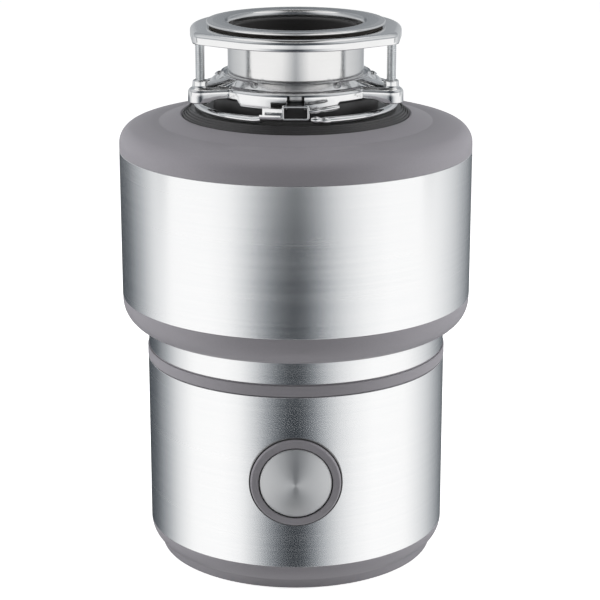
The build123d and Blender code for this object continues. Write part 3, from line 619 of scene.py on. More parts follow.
def even(grain: float) -> Triple:
    """The same grain along X, Y and Z."""
    return (grain, grain, grain)


BAND_STEEL = MetalFinish(
    "brushed_wrapper", Slot.BAND, (0.98, 0.985, 0.99), 0.25, 0.03, (7.0, 7.0, 1500.0), 0.0007, 0.03,
    (4.0, 4.0, 420.0), 0.88,
)
BADGE_STEEL = MetalFinish(
    "brushed_badge", Slot.BAND, (1.0, 1.0, 1.0), 0.42, 0.03, even(300.0), 0.0004, 0.03, even(60.0), 0.93, Axis.Y,
)
BRIGHT_STEEL = MetalFinish(
    "bright_pressing", Slot.POLISHED, (0.88, 0.88, 0.88), 0.11, 0.03, even(70.0), 0.02, 0.04, even(18.0),
)
SATIN_STEEL = MetalFinish(
    "satin_flange", Slot.POLISHED, (0.86, 0.855, 0.85), 0.16, 0.03, (40.0, 40.0, 900.0), 0.0015, 0.03,
    (12.0, 12.0, 60.0), 0.3,
)
GREY_PLASTIC = MouldedFinish(
    "grey_moulding", Slot.PLASTIC, (0.235, 0.226, 0.245), 0.46, 0.05, even(900.0), 0.02, 0.05, specular=0.4,
)
BLACK_RUBBER = MouldedFinish(
    "moulded_rubber", Slot.RUBBER, (0.038, 0.037, 0.038), 0.38, 0.07, even(900.0), 0.03, 0.2, sheen=0.05,
)
BAFFLE_RUBBER = MouldedFinish(
    "baffle_rubber", Slot.RUBBER, (0.034, 0.033, 0.033), 0.62, 0.06, even(900.0), 0.03, 0.15,
    specular=0.3, sheen=0.05,
)
ZINC = MetalFinish("zinc_plate", Slot.ZINC, (0.84, 0.86, 0.87), 0.24, 0.08, even(240.0), 0.004, 0.10)
# Near-black, darker than grey fibre: painted shade, so that the gasket's edge stands for the shadow line under
# the sink flange.
FIBRE = MouldedFinish(
    "fibre_painted_shade", Slot.FIBRE, (0.06, 0.055, 0.05), 0.85, 0.06, even(700.0), 0.08, 0.3, specular=0.2,
)
FOAM = MouldedFinish("sound_foam", Slot.FOAM, (0.07, 0.07, 0.07), 0.9, 0.05, even(450.0), 0.5, 0.4, specular=0.1)
BLACK_PLASTIC = MouldedFinish(
    "black_moulding", Slot.BLACK_PLASTIC, (0.03, 0.03, 0.032), 0.42, 0.07, even(900.0), 0.02, 0.2,
)
STAINLESS = MetalFinish(
    "pressed_stainless", Slot.STAINLESS, (0.56, 0.56, 0.55), 0.32, 0.06, (60.0, 60.0, 700.0), 0.004, 0.08,
)
CAST = MetalFinish("die_cast", Slot.CAST, (0.54, 0.54, 0.55), 0.48, 0.08, even(500.0), 0.06, 0.12)
BRONZE = MetalFinish("sintered_bronze", Slot.BRONZE, (0.55, 0.38, 0.18), 0.42, 0.08, even(800.0), 0.02, 0.15)
LAMINATION = MetalFinish(
    "stacked_sheets", Slot.LAMINATION, (0.22, 0.22, 0.23), 0.42, 0.08, (4.0, 4.0, 2000.0), 0.06, 0.25,
)
COPPER = MetalFinish(
    "varnished_wire", Slot.COPPER, (0.62, 0.28, 0.14), 0.30, 0.08, (30.0, 30.0, 1300.0), 0.15, 0.25,
)
SHAFT = MetalFinish(
    "ground_shaft", Slot.SHAFT, (0.48, 0.48, 0.49), 0.25, 0.05, (20.0, 20.0, 1500.0), 0.003, 0.06,
)
RED_PLASTIC = MouldedFinish(
    "red_button", Slot.RED_PLASTIC, (0.55, 0.02, 0.02), 0.32, 0.05, even(900.0), 0.015, 0.1,
)


class Bench:
    """Dresses finished pieces and hands them to the frame."""

    def __init__(self) -> None:
        """Starts with no material made."""
        self.materials: dict[str, bpy.types.Material] = {}

    def paint(self, piece: Piece, finish: Finish) -> None:
        """Gives a piece the material of a finish, which is made once.

        Args:
            piece: The piece.
            finish: Its finish.
        """
        if finish.name not in self.materials:
            self.materials[finish.name] = finish.material()
        piece.data.materials.clear()
        piece.data.materials.append(self.materials[finish.name])
        LOG.info("%s: %s, %d faces", piece.name, finish.name, len(piece.data.polygons))

    def place(self, piece: Piece, finish: Finish, *nodes: str, body: Body = Body.HOUSING) -> None:
        """Dresses a piece, sets it on its body and lets it stand for frame nodes.

        Args:
            piece: The piece.
            finish: Its finish.
            nodes: Frame nodes that it stands for.
            body: The body it moves with.
        """
        self.paint(piece, finish)
        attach(piece, body.value)
        if nodes:
            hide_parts(*nodes)

    def dress(self, finish: Finish, *nodes: str) -> None:
        """Gives frame nodes a finish where they stand."""
        for node in nodes:
            self.paint(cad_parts[node], finish)


def wrapper_corners(radius: float, span: Pair) -> Corners:
    """Section of a thin steel wrapper over a span of heights."""
    inner, (low, high) = radius - WRAPPER_SHEET, span
    return [(inner, low), (radius, low, 0.3), (radius, high, 0.3), (inner, high)]


def rolled(edge: float) -> list[Pair]:
    """Insets and drops along a rolled edge, from its top to its side."""
    angles = [radians(90 * step / 7) for step in range(8)]
    return [(edge * (1 - sin(angle)), edge * (1 - cos(angle))) for angle in angles]


@dataclass
class MotorHousing:
    """Foot, steel wrappers and badge of the motor part."""

    bench: Bench
    radius: float = 95.0
    foot_in_r: float = 80.0
    foot_r: float = 87.5
    floor: Pair = (1.5, 4.5)
    band: Pair = (17.4, 127.7)
    belt: Pair = (128.4, 135.2)
    belt_r: float = 95.2
    neck: Pair = (135.9, 151.0)
    neck_r: float = 94.5
    reset_hole_r: float = 5.3
    post_hole_r: float = 3.6
    terminal_opening: Triple = (50.0, 28.0, 9.0)
    badge_z: float = 73.6
    badge_r: float = 27.75
    disc_r: float = 21.9
    badge_gap: float = 0.9
    badge_front: float = 97.6
    badge_recess: float = 1.4
    badge_sink: float = 0.4
    badge_segments: int = 128

    def build(self) -> None:
        """Makes every piece of the motor part."""
        self.foot()
        self.wrappers()
        self.badge()

    def foot(self) -> None:
        """Moulded foot with the holes of its underside."""
        (low, high), top = self.floor, self.band[0]
        corners = [
            (10.0, low, 0.5), (self.foot_in_r, low, 0.6), (self.foot_in_r, 0.0, 0.7), (self.foot_r, 0.0, 1.6),
            (90.0, 6.7, 0.9), *arc((81.33, top), 13.67, -49.5, -3.0, 12), (self.radius, top, 0.35),
            (91.0, top), (84.5, top), (84.5, high), (10.0, high, 0.3),
        ]
        piece = turned("foot", corners)
        bore(piece, self.reset_hole_r, Vector(RESET_AT), (-3.0, 9.0))
        for angle in POST_ANGLES:
            bore(piece, self.post_hole_r, on_circle(POST_CIRCLE_R, angle), (-3.0, 3.9))
        carve(piece, block(Vector((0, TERMINAL_Y, 3)), self.terminal_opening))
        self.bench.place(piece, GREY_PLASTIC, "bottom_cap")

    def wrappers(self) -> None:
        """Two steel wrappers with the moulded belt between them."""
        for name, radius, span, node in (
            ("motor_wrapper", self.radius, self.band, "lower_band"),
            ("neck_wrapper", self.neck_r, self.neck, "neck_band"),
        ):
            self.bench.place(turned(name, wrapper_corners(radius, span), 192), BAND_STEEL, node)
        (low, high), top = self.belt, self.neck[0]
        corners = [
            (89.7, 121.1), (94.0, 121.1), (94.0, low), (self.belt_r, low, 0.5), (self.belt_r, high, 0.5),
            (94.1, high), (94.1, top), (89.7, top),
        ]
        self.bench.place(turned("belt", corners), GREY_PLASTIC, "belt_ring")

    def facing(self, name: str, corners: Corners, curved: bool = True) -> Piece:
        """Round piece that faces the front.

        Args:
            name: The piece's name.
            corners: Its section as (radius, distance from the axis), from its middle to its edge.
            curved: Whether its back follows the wrapper's curve.

        Returns:
            The piece.
        """
        rows = []
        section = softened(corners, closed=False)
        for step in range(self.badge_segments):
            angle = 2 * pi * step / self.badge_segments
            row = [Vector((r * cos(angle), -far, self.badge_z + r * sin(angle))) for r, far in section]
            edge = row[-1].copy()
            if curved:
                edge.y = -sqrt((self.radius - self.badge_sink) ** 2 - edge.x**2)
                row.append(edge)
            row.append(Vector((0, edge.y + self.badge_sink, self.badge_z)))
            rows.append(row)
        return Form().sheet(rows, loop_points=False).build(name)

    def badge(self) -> None:
        """Grey plate with a rounded rim, a black ring of painted shade in the gaps round the plate and under the
        disc's edge, and a bare brushed disc with a raised middle.
        """
        front, floor = self.badge_front, self.badge_front - self.badge_recess
        inner, edge = self.disc_r + self.badge_gap, self.badge_r + self.badge_gap
        plate = [
            (0.0, floor), (inner, floor), (inner, front, 0.35), (self.badge_r - 0.5, front - 0.1, 1.1),
            (self.badge_r, front - 2.2, 0.6), (self.badge_r, front - 4.5),
        ]
        # Painted shade: a black ring that fills the gap round the plate and the groove under the disc's edge with
        # dark, where the shade falls.
        shade_ring = [
            (0.0, floor + 0.06), (inner + 0.5, floor + 0.06), (self.badge_r - 0.5, front - 2.2),
            (edge, front - 2.2, 0.3), (edge, front - 4.5),
        ]
        disc = [
            *((self.disc_r * share, front + 3.4 - 3.8 * share**2) for share in (0.0, 0.2, 0.4, 0.6, 0.8)),
            (self.disc_r - 0.4, front - 0.4, 0.2), (self.disc_r, front - 0.8, 0.2), (self.disc_r, floor + 0.02),
        ]
        self.bench.place(self.facing("badge_plate", plate), GREY_PLASTIC, "badge_bezel")
        # The black ring is painted shade round the plate and under the disc, not a real seal.
        self.bench.place(self.facing("badge_shade_ring", shade_ring), BLACK_RUBBER)
        self.bench.place(self.facing("badge_plain_disc", disc, curved=False), BADGE_STEEL, "badge_disc")


@dataclass
class UpperHousing:
    """Trim, wide steel wrapper and cap round the grinding chamber."""

    bench: Bench
    radius: float = 110.5
    trim: Pair = (151.0, 169.3)
    trim_edge_r: float = 99.5
    band: Pair = (169.3, 261.8)
    spigot_z: float = 255.2
    rim: Pair = (72.0, 284.0)
    outlet_z: float = 197.0
    outlet_bolt_x: float = 31.0
    recess_r: float = 25.0
    recess_ear_r: float = 9.0
    inlet_hole_r: float = 12.65

    def build(self) -> None:
        """Makes every piece of the upper part."""
        self.lower_trim()
        self.wrapper()
        self.cap()

    def lower_trim(self) -> None:
        """Rounded moulding under the wide wrapper."""
        low, high = self.trim
        corners = [
            (75.0, low + 4), (75.0, low), (self.trim_edge_r - 0.4, low, 0.8),
            *arc((93.85, 166.5), 16.5, -69.0, 0.0, 14), (self.radius - 0.15, high, 0.35),
            (106.5, high), (106.5, 166.5), (96.5, low + 4),
        ]
        self.bench.place(turned("trim", corners), GREY_PLASTIC, "lower_trim")

    def wrapper(self) -> None:
        """Wide steel wrapper, open at the back for the outlet and the inlet."""
        piece = turned("wide_wrapper", wrapper_corners(self.radius, self.band), 224)
        recess = Outline.lobed(self.recess_r, self.recess_ear_r, self.outlet_bolt_x, (0.0, 180.0), 1.2)
        rings = [[Vector((at.x, y, self.outlet_z + at.y)) for at in recess.points] for y in (90.0, 130.0)]
        carve(piece, Form().bar(rings).build("outlet_tool"))
        carve(piece, rod(self.inlet_hole_r, *(on_circle(far, INLET_ANGLE, INLET_Z) for far in (80.0, 135.0))))
        self.bench.place(piece, BAND_STEEL, "upper_band")

    def cap(self) -> None:
        """Moulded cap: a lip, a full shoulder, a low dome and a raised rim."""
        high = self.band[1]
        corners = [
            (self.radius, high, 0.35), *arc((99.5, 266.3), 11.0, 0.0, 72.0, 12),
            *arc((86.8, 227.3), 52.0, 75.0, 88.0, 8), (85.5, 279.4, 4.0), (*self.rim, 0.9),
            (70.85, 283.1, 0.4), (70.85, 275.0), (82.5, 275.0), (99.5, 273.3), (106.5, 266.3),
            (106.5, self.spigot_z), (109.5, self.spigot_z), (109.5, high),
        ]
        self.bench.place(turned("cap", corners, 192), GREY_PLASTIC, "top_cover")


@dataclass
class SinkClamp:
    """Sink flange with its gasket, backup ring and clamping screws."""

    bench: Bench
    flange_r: float = 55.4
    flange: Pair = (340.3, 342.0)
    throat_r: float = 41.3
    tube_r: float = 42.3
    tube_end: float = 298.0
    # The gasket's outer edge reaches out under the flange's rim, so that its dark colour paints the shadow line
    # there.
    gasket_r: Pair = (47.5, 53.6)
    gasket_h: float = 1.15
    plate_top: float = 339.0
    skirt_end: float = 332.0
    plate_r: float = 65.4
    lobe_r: float = 10.0
    lobe_at: float = 60.8
    bore_r: float = 46.0
    sheet: float = 1.6
    edge: float = 3.0
    screw_r: float = 2.95
    screw: Pair = (297.5, 337.4)
    pitch: float = 1.25
    thread_depth: float = 0.48

    def build(self) -> None:
        """Makes the flange and the clamp under it."""
        self.sink_flange()
        self.gasket()
        self.backup_ring()
        self.screws()

    def sink_flange(self) -> None:
        """Thin flat flange that rounds into its throat tube."""
        low, high = self.flange
        corners = [
            (self.throat_r, self.tube_end, 0.3), (self.tube_r, self.tube_end, 0.4),
            (self.tube_r, low + 0.1, 2.2), (self.flange_r, low, 0.3), (self.flange_r, high - 0.2, 0.6),
            (self.flange_r - 4.0, high, 2.0), (self.throat_r, high - 0.4, 2.6),
        ]
        self.bench.place(turned("flange", corners, 192), SATIN_STEEL, "sink_flange")

    def gasket(self) -> None:
        """Fibre ring on the backup ring, a real part; its near-black colour and its edge near the flange's rim
        paint the shadow line under the flange.
        """
        (inner, outer), low = self.gasket_r, self.plate_top
        high = low + self.gasket_h
        corners = [(inner, low), (outer, low, 0.4), (outer, high, 0.4), (inner, high, 0.4)]
        self.bench.place(turned("gasket", corners, 128), FIBRE, "fibre_gasket", body=Body.CLAMP)

    def backup_ring(self) -> None:
        """Stamped ring with three lobes, a rolled edge and a skirt."""
        outline = Outline.lobed(self.plate_r, self.lobe_r, self.lobe_at, MOUNT_ANGLES, 1.0)
        top, end, edge, sheet = self.plate_top, self.skirt_end, self.edge, self.sheet
        profile = [(edge + 2.5, top), (edge + 0.8, top), *((inset, top - drop) for inset, drop in rolled(edge))]
        profile += [(0.0, end + 0.9), (0.1, end + 0.5), (0.4, end + 0.1), (0.8, end), (1.2, end + 0.1)]
        profile += [(1.5, end + 0.5), (sheet, end + 0.9), (sheet, top - edge), (edge + 1.0, top - sheet)]
        rings = [outline.circle(self.bore_r, height) for height in (top - sheet, top)]
        rings += [outline.ring(inset, lambda index, z=z: z) for inset, z in profile]
        self.bench.place(Form().sheet(rings).build("clamp_plate"), BRIGHT_STEEL, "backup_ring", body=Body.CLAMP)

    def screws(self) -> None:
        """Three clamping screws with rolled threads."""
        form = Form()
        low, high = self.screw
        sides = 28
        rows_each_turn = 8
        count = round((high - low) / self.pitch * rows_each_turn)
        for angle in MOUNT_ANGLES:
            centre = on_circle(MOUNT_CIRCLE_R, angle)
            rings = []
            for row in range(count + 1):
                height = mix(low, high, row / count)
                ring = []
                for side in range(sides):
                    phase = (row / rows_each_turn - side / sides) % 1.0
                    dip = self.thread_depth * smooth_step(0.0, 0.42, abs(phase - 0.5) * 2 - 0.25)
                    ring.append(centre + on_circle(self.screw_r - dip, 360 * side / sides, height))
                rings.append(ring)
            form.bar(rings)
        self.bench.place(form.build("clamp_screws", 60.0), ZINC, "mounting_screws", body=Body.CLAMP)


@dataclass
class MountingRing:
    """Upper mounting ring: a stamped web and skirt with three ears for the screws."""

    bench: Bench
    bore_r: float = 42.7
    web_top: float = 309.9
    skirt_r: float = 53.8
    skirt_top: float = 305.8
    skirt_end: float = 295.0
    notch_z: float = 298.7
    notch_start: Pair = (6.5, 9.0)
    notch_edges: Pair = (20.0, 32.0)
    notch_soft: float = 1.5
    slot_z: float = 297.4
    slot: Triple = (9.0, 10.4, 12.6)
    ear_r: float = 7.5
    ear_top: float = 306.2
    ear_end: float = 296.6
    ear_spread: float = 11.5
    ear_fades: tuple[Pair, Pair] = ((6.0, 17.0), (9.0, 12.0))
    sheet: float = 1.6
    edge: float = 3.3
    ridge_r: float = 46.3
    groove: float = 0.7
    collar_r: float = 4.7
    collar_top: float = 310.4
    screw_hole_r: float = 3.45
    screw_hole: Pair = (289.0, 319.0)
    dimple_turn: float = 32.0

    def build(self) -> None:
        """Makes the ring with its collars and dimples, and dresses the snap ring that holds it."""
        piece = self.shell()
        for angle in MOUNT_ANGLES:
            bore(piece, self.screw_hole_r, on_circle(MOUNT_CIRCLE_R, angle), self.screw_hole)
        for angle in HOOK_ANGLES:
            carve(piece, block(on_circle(self.skirt_r, angle, self.slot_z), self.slot, angle))
        self.bench.place(piece, BRIGHT_STEEL, "upper_mounting_ring")
        self.collars()
        self.dimples()
        self.bench.dress(BRIGHT_STEEL, "snap_ring")

    def trace(self) -> list[Pair]:
        """Outline of the skirt with its three ears, drawn finely.

        Returns:
            The drawn points, anticlockwise.
        """
        trace: list[Pair] = []
        centre = Vector((MOUNT_CIRCLE_R, 0.0))
        away = centre - on_circle(self.skirt_r, self.ear_spread).to_2d()
        touch = degrees(atan2(-away.y, -away.x) - acos(self.ear_r / away.length))
        for ear in sorted(MOUNT_ANGLES):
            turn = Matrix.Rotation(radians(ear), 2)
            for share in shares(40):
                angle = mix(-touch, touch, share)
                trace.append(tuple(turn @ (centre + on_circle(self.ear_r, angle).to_2d())))
            for share in shares(160):
                angle = mix(self.ear_spread, 120 - self.ear_spread, share)
                trace.append(tuple(turn @ on_circle(self.skirt_r, angle).to_2d()))
        return trace

    def shell(self) -> Piece:
        """Web, rolled edge and skirt in one sheet.

        Returns:
            The sheet.
        """
        outline = Outline.traced(self.trace(), 0.85)
        offs = [off_nearest(degrees(atan2(point.y, point.x)), MOUNT_ANGLES) for point in outline.points]

        def top(index: int) -> float:
            """Height of the rolled edge at a point."""
            return mix(self.ear_top, self.skirt_top, smooth_step(*self.ear_fades[0], abs(offs[index])))

        def end(index: int) -> float:
            """Finds the height of the skirt's lower edge, which a notch beside each ear lifts.

            Args:
                index: Which point of the outline.

            Returns:
                The height.
            """
            off, soft = abs(offs[index]), self.notch_soft
            edge = self.notch_edges[0 if offs[index] > 0 else 1]
            notch = smooth_step(*self.notch_start, off) * (1 - smooth_step(edge - soft, edge + soft, off))
            plain = mix(self.ear_end, self.skirt_end, smooth_step(*self.ear_fades[1], off))
            return mix(plain, self.notch_z, notch)

        web, groove, ridge, edge = self.web_top, self.web_top - self.groove, self.ridge_r, self.edge
        circles = [
            (self.bore_r, groove - 0.3), (self.bore_r + 0.1, groove), (ridge - 1.9, groove),
            (ridge - 1.4, groove + 0.25), (ridge - 0.7, web + 0.1), (ridge, web + 0.25), (ridge + 0.5, web),
            (ridge + 0.9, web - 0.6),
        ]
        rings = [outline.circle(radius, height) for radius, height in circles]
        rolls = [(edge + 0.8, -0.05), *rolled(edge), (0.0, edge + 0.4)]
        rings += [outline.ring(inset, lambda index, d=drop: top(index) - d) for inset, drop in rolls]
        hem = ((0.0, 0.8), (0.1, 0.4), (0.4, 0.1), (0.8, 0.0), (1.2, 0.1), (1.5, 0.4), (1.6, 0.8))
        rings += [outline.ring(inset, lambda index, r=rise: end(index) + r) for inset, rise in hem]
        back = ((self.sheet, edge + 0.6), (edge + 1.2, self.sheet))
        rings += [outline.ring(inset, lambda index, d=drop: top(index) - d) for inset, drop in back]
        rings += [outline.circle(radius, groove - 0.3) for radius in (ridge - 0.6, ridge - 1.9)]
        return Form().sheet(rings).build("mounting_ring", 50.0)

    def collars(self) -> None:
        """Domed collars on the ears, round the screws."""
        form = Form()
        hole, outer, low, high = self.screw_hole_r, self.collar_r, self.ear_top - 0.6, self.collar_top
        corners = [
            (hole, low), (outer + 0.6, low), (outer + 0.1, low + 1.4, 0.8), (outer - 0.1, high - 0.2, 2.6),
            (hole, high, 0.2),
        ]
        for angle in MOUNT_ANGLES:
            form.lathe(softened(corners), 48, place=Matrix.Translation(on_circle(MOUNT_CIRCLE_R, angle)))
        self.bench.place(form.build("ear_collars"), BRIGHT_STEEL)

    def dimples(self) -> None:
        """Two small raised dimples in the web beside each hook."""
        form = Form()
        dome = [(3.4, -0.4), (2.9, 0.1), (2.3, 0.7), (1.5, 1.2), (0.7, 1.45), (0.0, 1.5)]
        for hook in HOOK_ANGLES:
            for side in (-self.dimple_turn, self.dimple_turn):
                place = on_circle(self.ridge_r + 0.9, hook + side, self.web_top - 1.1)
                form.lathe(dome, 32, False, Matrix.Translation(place))
        self.bench.place(form.build("web_dimples"), BRIGHT_STEEL)


@dataclass
class LockRing:
    """Lower mounting ring: a rolled bead with wrench loops, rolled tubes and prongs."""

    bench: Bench
    bead_r: float = 61.4
    bead_z: float = 290.2
    wire_r: float = 2.25
    bead_span: Pair = (11.0, 101.0)
    loop: Pair = (15.2, 7.4)
    loop_z: float = 295.4
    loop_r: float = 62.1
    strip: Pair = (1.5, 0.65)
    tube_r: float = 3.3
    tube_bore_r: float = 2.4
    tube_back: float = 3.6
    tube_at: Pair = (64.9, 293.9)
    tube_span: Pair = (-18.5, -7.6)
    rise_span: Pair = (-27.0, -15.0)
    prong_r: float = 1.65
    prong_at: Pair = (63.4, 297.2)
    prong_span: Pair = (7.2, 24.0)
    knob_at: Pair = (64.2, 291.6)
    knob_span: Pair = (8.0, 18.5)
    form: Form = field(default_factory=Form)

    def build(self) -> None:
        """Makes the ring in one piece."""
        steps = shares(48)
        radii = [self.wire_r * min(1.0, 0.55 + 9 * min(share, 1 - share)) for share in steps]
        for angle in HOOK_ANGLES:
            spine = [on_circle(self.bead_r, angle + mix(*self.bead_span, share), self.bead_z) for share in steps]
            self.form.round_bar(spine, radii)
        for angle in HOOK_ANGLES:
            self.wrench_loop(angle)
            self.rolled_tube(angle)
            self.prongs(angle)
        piece = self.form.build("locking_ring", 45.0)
        self.bench.place(piece, BRIGHT_STEEL, "lower_mounting_ring", body=Body.LOCK_RING)

    def wrench_loop(self, angle: float) -> None:
        """Adds one rectangular loop of strip.

        Args:
            angle: Where the loop stands.
        """
        out = on_circle(1.0, angle)
        side = on_circle(1.0, angle + 90)
        middle = out * self.loop_r + Vector((0, 0, self.loop_z))
        path = [middle + side * s + Vector((0, 0, t)) for s, t in softened(boxed(*self.loop, 0.9))]
        wide, thick = self.strip
        self.form.sweep(path, softened(boxed(2 * thick, 2 * wide, 0.35), steps=3), out, closed=True)

    def rolled_tube(self, angle: float) -> None:
        """Adds a tube rolled from the ring's edge, on a foot that rises from the bead.

        Args:
            angle: Where the loop beside it stands.
        """
        radius, height = self.tube_at
        outer, inner = self.tube_r, self.tube_bore_r
        gutter = [(outer * sin(radians(turn)), -outer * cos(radians(turn))) for turn in range(105, -91, -15)]
        gutter += [(-outer, self.tube_back), (-inner, self.tube_back)]
        gutter += [(inner * sin(radians(turn)), -inner * cos(radians(turn))) for turn in range(-90, 106, 15)]
        spine = [on_circle(radius, angle + mix(*self.tube_span, share), height) for share in shares(8)]
        self.form.sweep(spine, gutter, Vector((0, 0, 1)))
        rise = []
        for share in shares(4):
            up = mix(self.bead_z, height - 2.2, smooth_step(0.2, 1.0, share))
            rise.append(on_circle(mix(self.bead_r, radius - 2.4, share), angle + mix(*self.rise_span, share), up))
        self.form.round_bar(rise, (2.2, 2.3, 2.2, 1.9, 1.4))

    def prongs(self, angle: float) -> None:
        """Adds the long prong and the knobbed one under it.

        Args:
            angle: Where the loop beside them stands.
        """
        long_sizes = (0.7, 0.92, 1, 1, 0.8, 1, 1, 1, 1, 0.92, 0.6)
        for (radius, height), span, (start, end), radii in (
            (self.prong_at, self.prong_span, (-0.9, 1.1), [self.prong_r * size for size in long_sizes]),
            (
                self.knob_at, self.knob_span, (0.0, self.bead_z + 0.2 - self.knob_at[1]),
                (1.1, 1.8, 2.3, 2.4, 2.1, 1.6, 1.9, 2.3, 2.3, 2.2, 1.8),
            ),
        ):
            spine = [on_circle(radius, angle + mix(*span, at), height + mix(start, end, at)) for at in shares(10)]
            self.form.round_bar(spine, radii)


@dataclass
class ThroatRubber:
    """Ribbed cushion under the mount and the baffle in the throat."""

    bench: Bench
    rim: Pair = (70.7, 283.1)
    seat: Pair = (65.9, 287.5)
    column_r: float = 51.4
    top_z: float = 298.0
    bore_r: float = 38.5
    rib_count: int = 4
    rib_depth: float = 1.7
    baffle_r: float = 41.1
    baffle: Pair = (298.3, 337.0)
    floor: Pair = (309.0, 312.0)
    floor_h: float = 2.6
    hole_r: float = 15.0
    slit_r: float = 34.0

    def build(self) -> None:
        """Makes the cushion, the baffle's sleeve and its flaps."""
        self.cushion()
        self.sleeve()
        self.flaps()

    def cushion(self) -> None:
        """Rubber cushion with rounded ribs round its seat."""
        (rim_r, rim_z), (seat_r, seat_z) = self.rim, self.seat
        pitch = (rim_r - seat_r) / self.rib_count
        rise = (seat_z - rim_z) / self.rib_count
        ribs: list[Triple] = []
        for rib in range(self.rib_count):
            r, z = rim_r - rib * pitch, rim_z + rib * rise
            ribs.append((r, z, 0.5))
            ribs.append((r - 0.45 * pitch, z + rise + self.rib_depth, 0.5))
            ribs.append((r - 0.8 * pitch, z + rise - self.rib_depth, 0.4))
        corners = [
            (self.bore_r, 285.0, 0.4), (57.3, 285.0), (57.3, 277.0), (68.7, 272.6), (76.3, 272.6), (76.3, 274.9),
            (rim_r, 274.9), *ribs, (seat_r, seat_z, 0.4), (self.column_r, seat_z, 0.6),
            (self.column_r, self.top_z, 0.8), (self.bore_r, self.top_z, 0.6),
        ]
        self.bench.place(turned("cushion", corners), BLACK_RUBBER, "cushion_mount")

    def sleeve(self) -> None:
        """Sleeve of the baffle, a lining in the throat tube."""
        inner, outer, (low, high) = self.bore_r, self.baffle_r, self.baffle
        corners = [(inner, low, 0.5), (outer, low, 0.5), (outer, high, 0.6), (inner, high, 1.1)]
        self.bench.place(turned("baffle_sleeve", corners), BAFFLE_RUBBER, "sink_baffle", body=Body.BAFFLE)

    def flaps(self) -> None:
        """Floor of the baffle, slit into six flaps round its hole."""
        (low, high), thick = self.floor, self.floor_h
        inner, outer = self.hole_r, self.bore_r + 0.05
        corners = [(inner, low, 0.5), (outer, high, 0.4), (outer, high + thick, 0.4), (inner, low + thick, 0.5)]
        piece = turned("baffle_flaps_moulding", corners, 120)
        slit = (self.slit_r - inner + 4, 1.6, 14.0)
        for step in range(6):
            angle = 60.0 * step
            carve(piece, block(on_circle((inner + self.slit_r) / 2, angle, low + 2), slit, angle))
        self.bench.place(piece, BAFFLE_RUBBER, "baffle_flaps", body=Body.BAFFLE)


@dataclass
class BackFittings:
    """Hose stub at the back; the cast outlet beside it shows as the frame has it."""

    bench: Bench
    bore_r: float = 8.0
    stub_r: float = 11.0
    shoulder_r: float = 12.5
    start: float = 79.0
    shoulder_end: float = 112.0
    end: float = 134.0

    def build(self) -> None:
        """Makes the stub and dresses the outlet."""
        corners = [
            (self.bore_r, self.start), (self.shoulder_r, self.start), (self.shoulder_r, self.shoulder_end, 0.6),
            (self.stub_r, self.shoulder_end, 0.4), (self.stub_r, self.end, 1.0), (self.bore_r, self.end, 0.7),
        ]
        place = along(Vector((0, 0, INLET_Z)), on_circle(1.0, INLET_ANGLE))
        stub = Form().lathe(softened(corners), 72, place=place).build("hose_stub")
        self.bench.place(stub, BLACK_PLASTIC, "dishwasher_inlet")
        self.bench.dress(CAST, "upper_end_bell")


@dataclass
class Underside:
    """Reset button, terminal cover and screws under the foot."""

    bench: Bench
    reset_r: float = 5.0
    reset_collar_r: float = 6.8
    reset_face: float = 0.8
    cover: Triple = (64.0, 40.0, 1.2)
    cover_low: float = 0.3
    conduit_x: float = -10.0
    conduit_r: float = 11.1
    screw_x: float = 28.5
    head_r: float = 3.2

    def build(self) -> None:
        """Makes every piece of the underside."""
        self.reset_button()
        self.terminal_cover()
        places = [Vector((x, TERMINAL_Y, self.cover_low)) for x in (-self.screw_x, self.screw_x)]
        self.screw_heads("cover_heads", places, 1.2)
        self.screw_heads("foot_heads", [on_circle(POST_CIRCLE_R, angle, 1.6) for angle in POST_ANGLES], 2.3)
        self.bench.dress(ZINC, "cover_screws", "base_screws")

    def reset_button(self) -> None:
        """Red button with a soft face."""
        outer, collar, face = self.reset_r, self.reset_collar_r, self.reset_face
        corners = [
            (0.0, face - 0.05), (outer * 0.6, face), (outer, face + 0.15, 0.8), (outer, 4.8), (collar, 4.8, 0.3),
            (collar, 6.3, 0.3), (0.0, 6.3),
        ]
        place = Matrix.Translation((*RESET_AT, 0))
        button = Form().lathe(softened(corners, closed=False), 56, False, place).build("reset_cap")
        self.bench.place(button, RED_PLASTIC, body=Body.RESET)
        self.bench.dress(RED_PLASTIC, "reset_button")

    def terminal_cover(self) -> None:
        """Plated sheet over the terminals, with its conduit hole."""
        wide, deep, thick = self.cover
        outline = Outline.traced(softened(boxed(wide, deep, 4.0), steps=10), 1.0)
        low, high = self.cover_low, self.cover_low + thick
        middle = Vector((0, TERMINAL_Y, 0))
        rings = []
        for inset, z in ((0.4, low), (0.1, low + 0.1), (0.0, low + 0.4), (0.0, high - 0.2), (0.2, high)):
            rings.append([middle + point for point in outline.ring(inset, lambda index, z=z: z)])
        piece = Form().bar(rings).build("terminal_plate")
        holes = ((self.conduit_x, self.conduit_r, 72),)
        holes += tuple((x, self.head_r + 0.2, 40) for x in (-self.screw_x, self.screw_x))
        for x, radius, sides in holes:
            bore(piece, radius, Vector((x, TERMINAL_Y)), (-4.0, 6.0), sides)
        self.bench.place(piece, ZINC, "terminal_cover")

    def screw_heads(self, name: str, places: Ring, depth: float) -> None:
        """Round heads with cross slots cut into them.

        Args:
            name: The piece's name.
            places: Middle of each head's face.
            depth: How deep each head is.
        """
        form = Form()
        outer = self.head_r - 0.05
        section = softened([(0.0, -0.02), (outer, 0.0, 0.4), (outer, depth), (0.0, depth)], closed=False)
        for place in places:
            form.lathe(section, 40, False, Matrix.Translation(place))
        piece = form.build(name)
        for place in places:
            for size in ((3.4, 0.8, 1.6), (0.8, 3.4, 1.6)):
                carve(piece, block(place, size))
        self.bench.place(piece, ZINC)


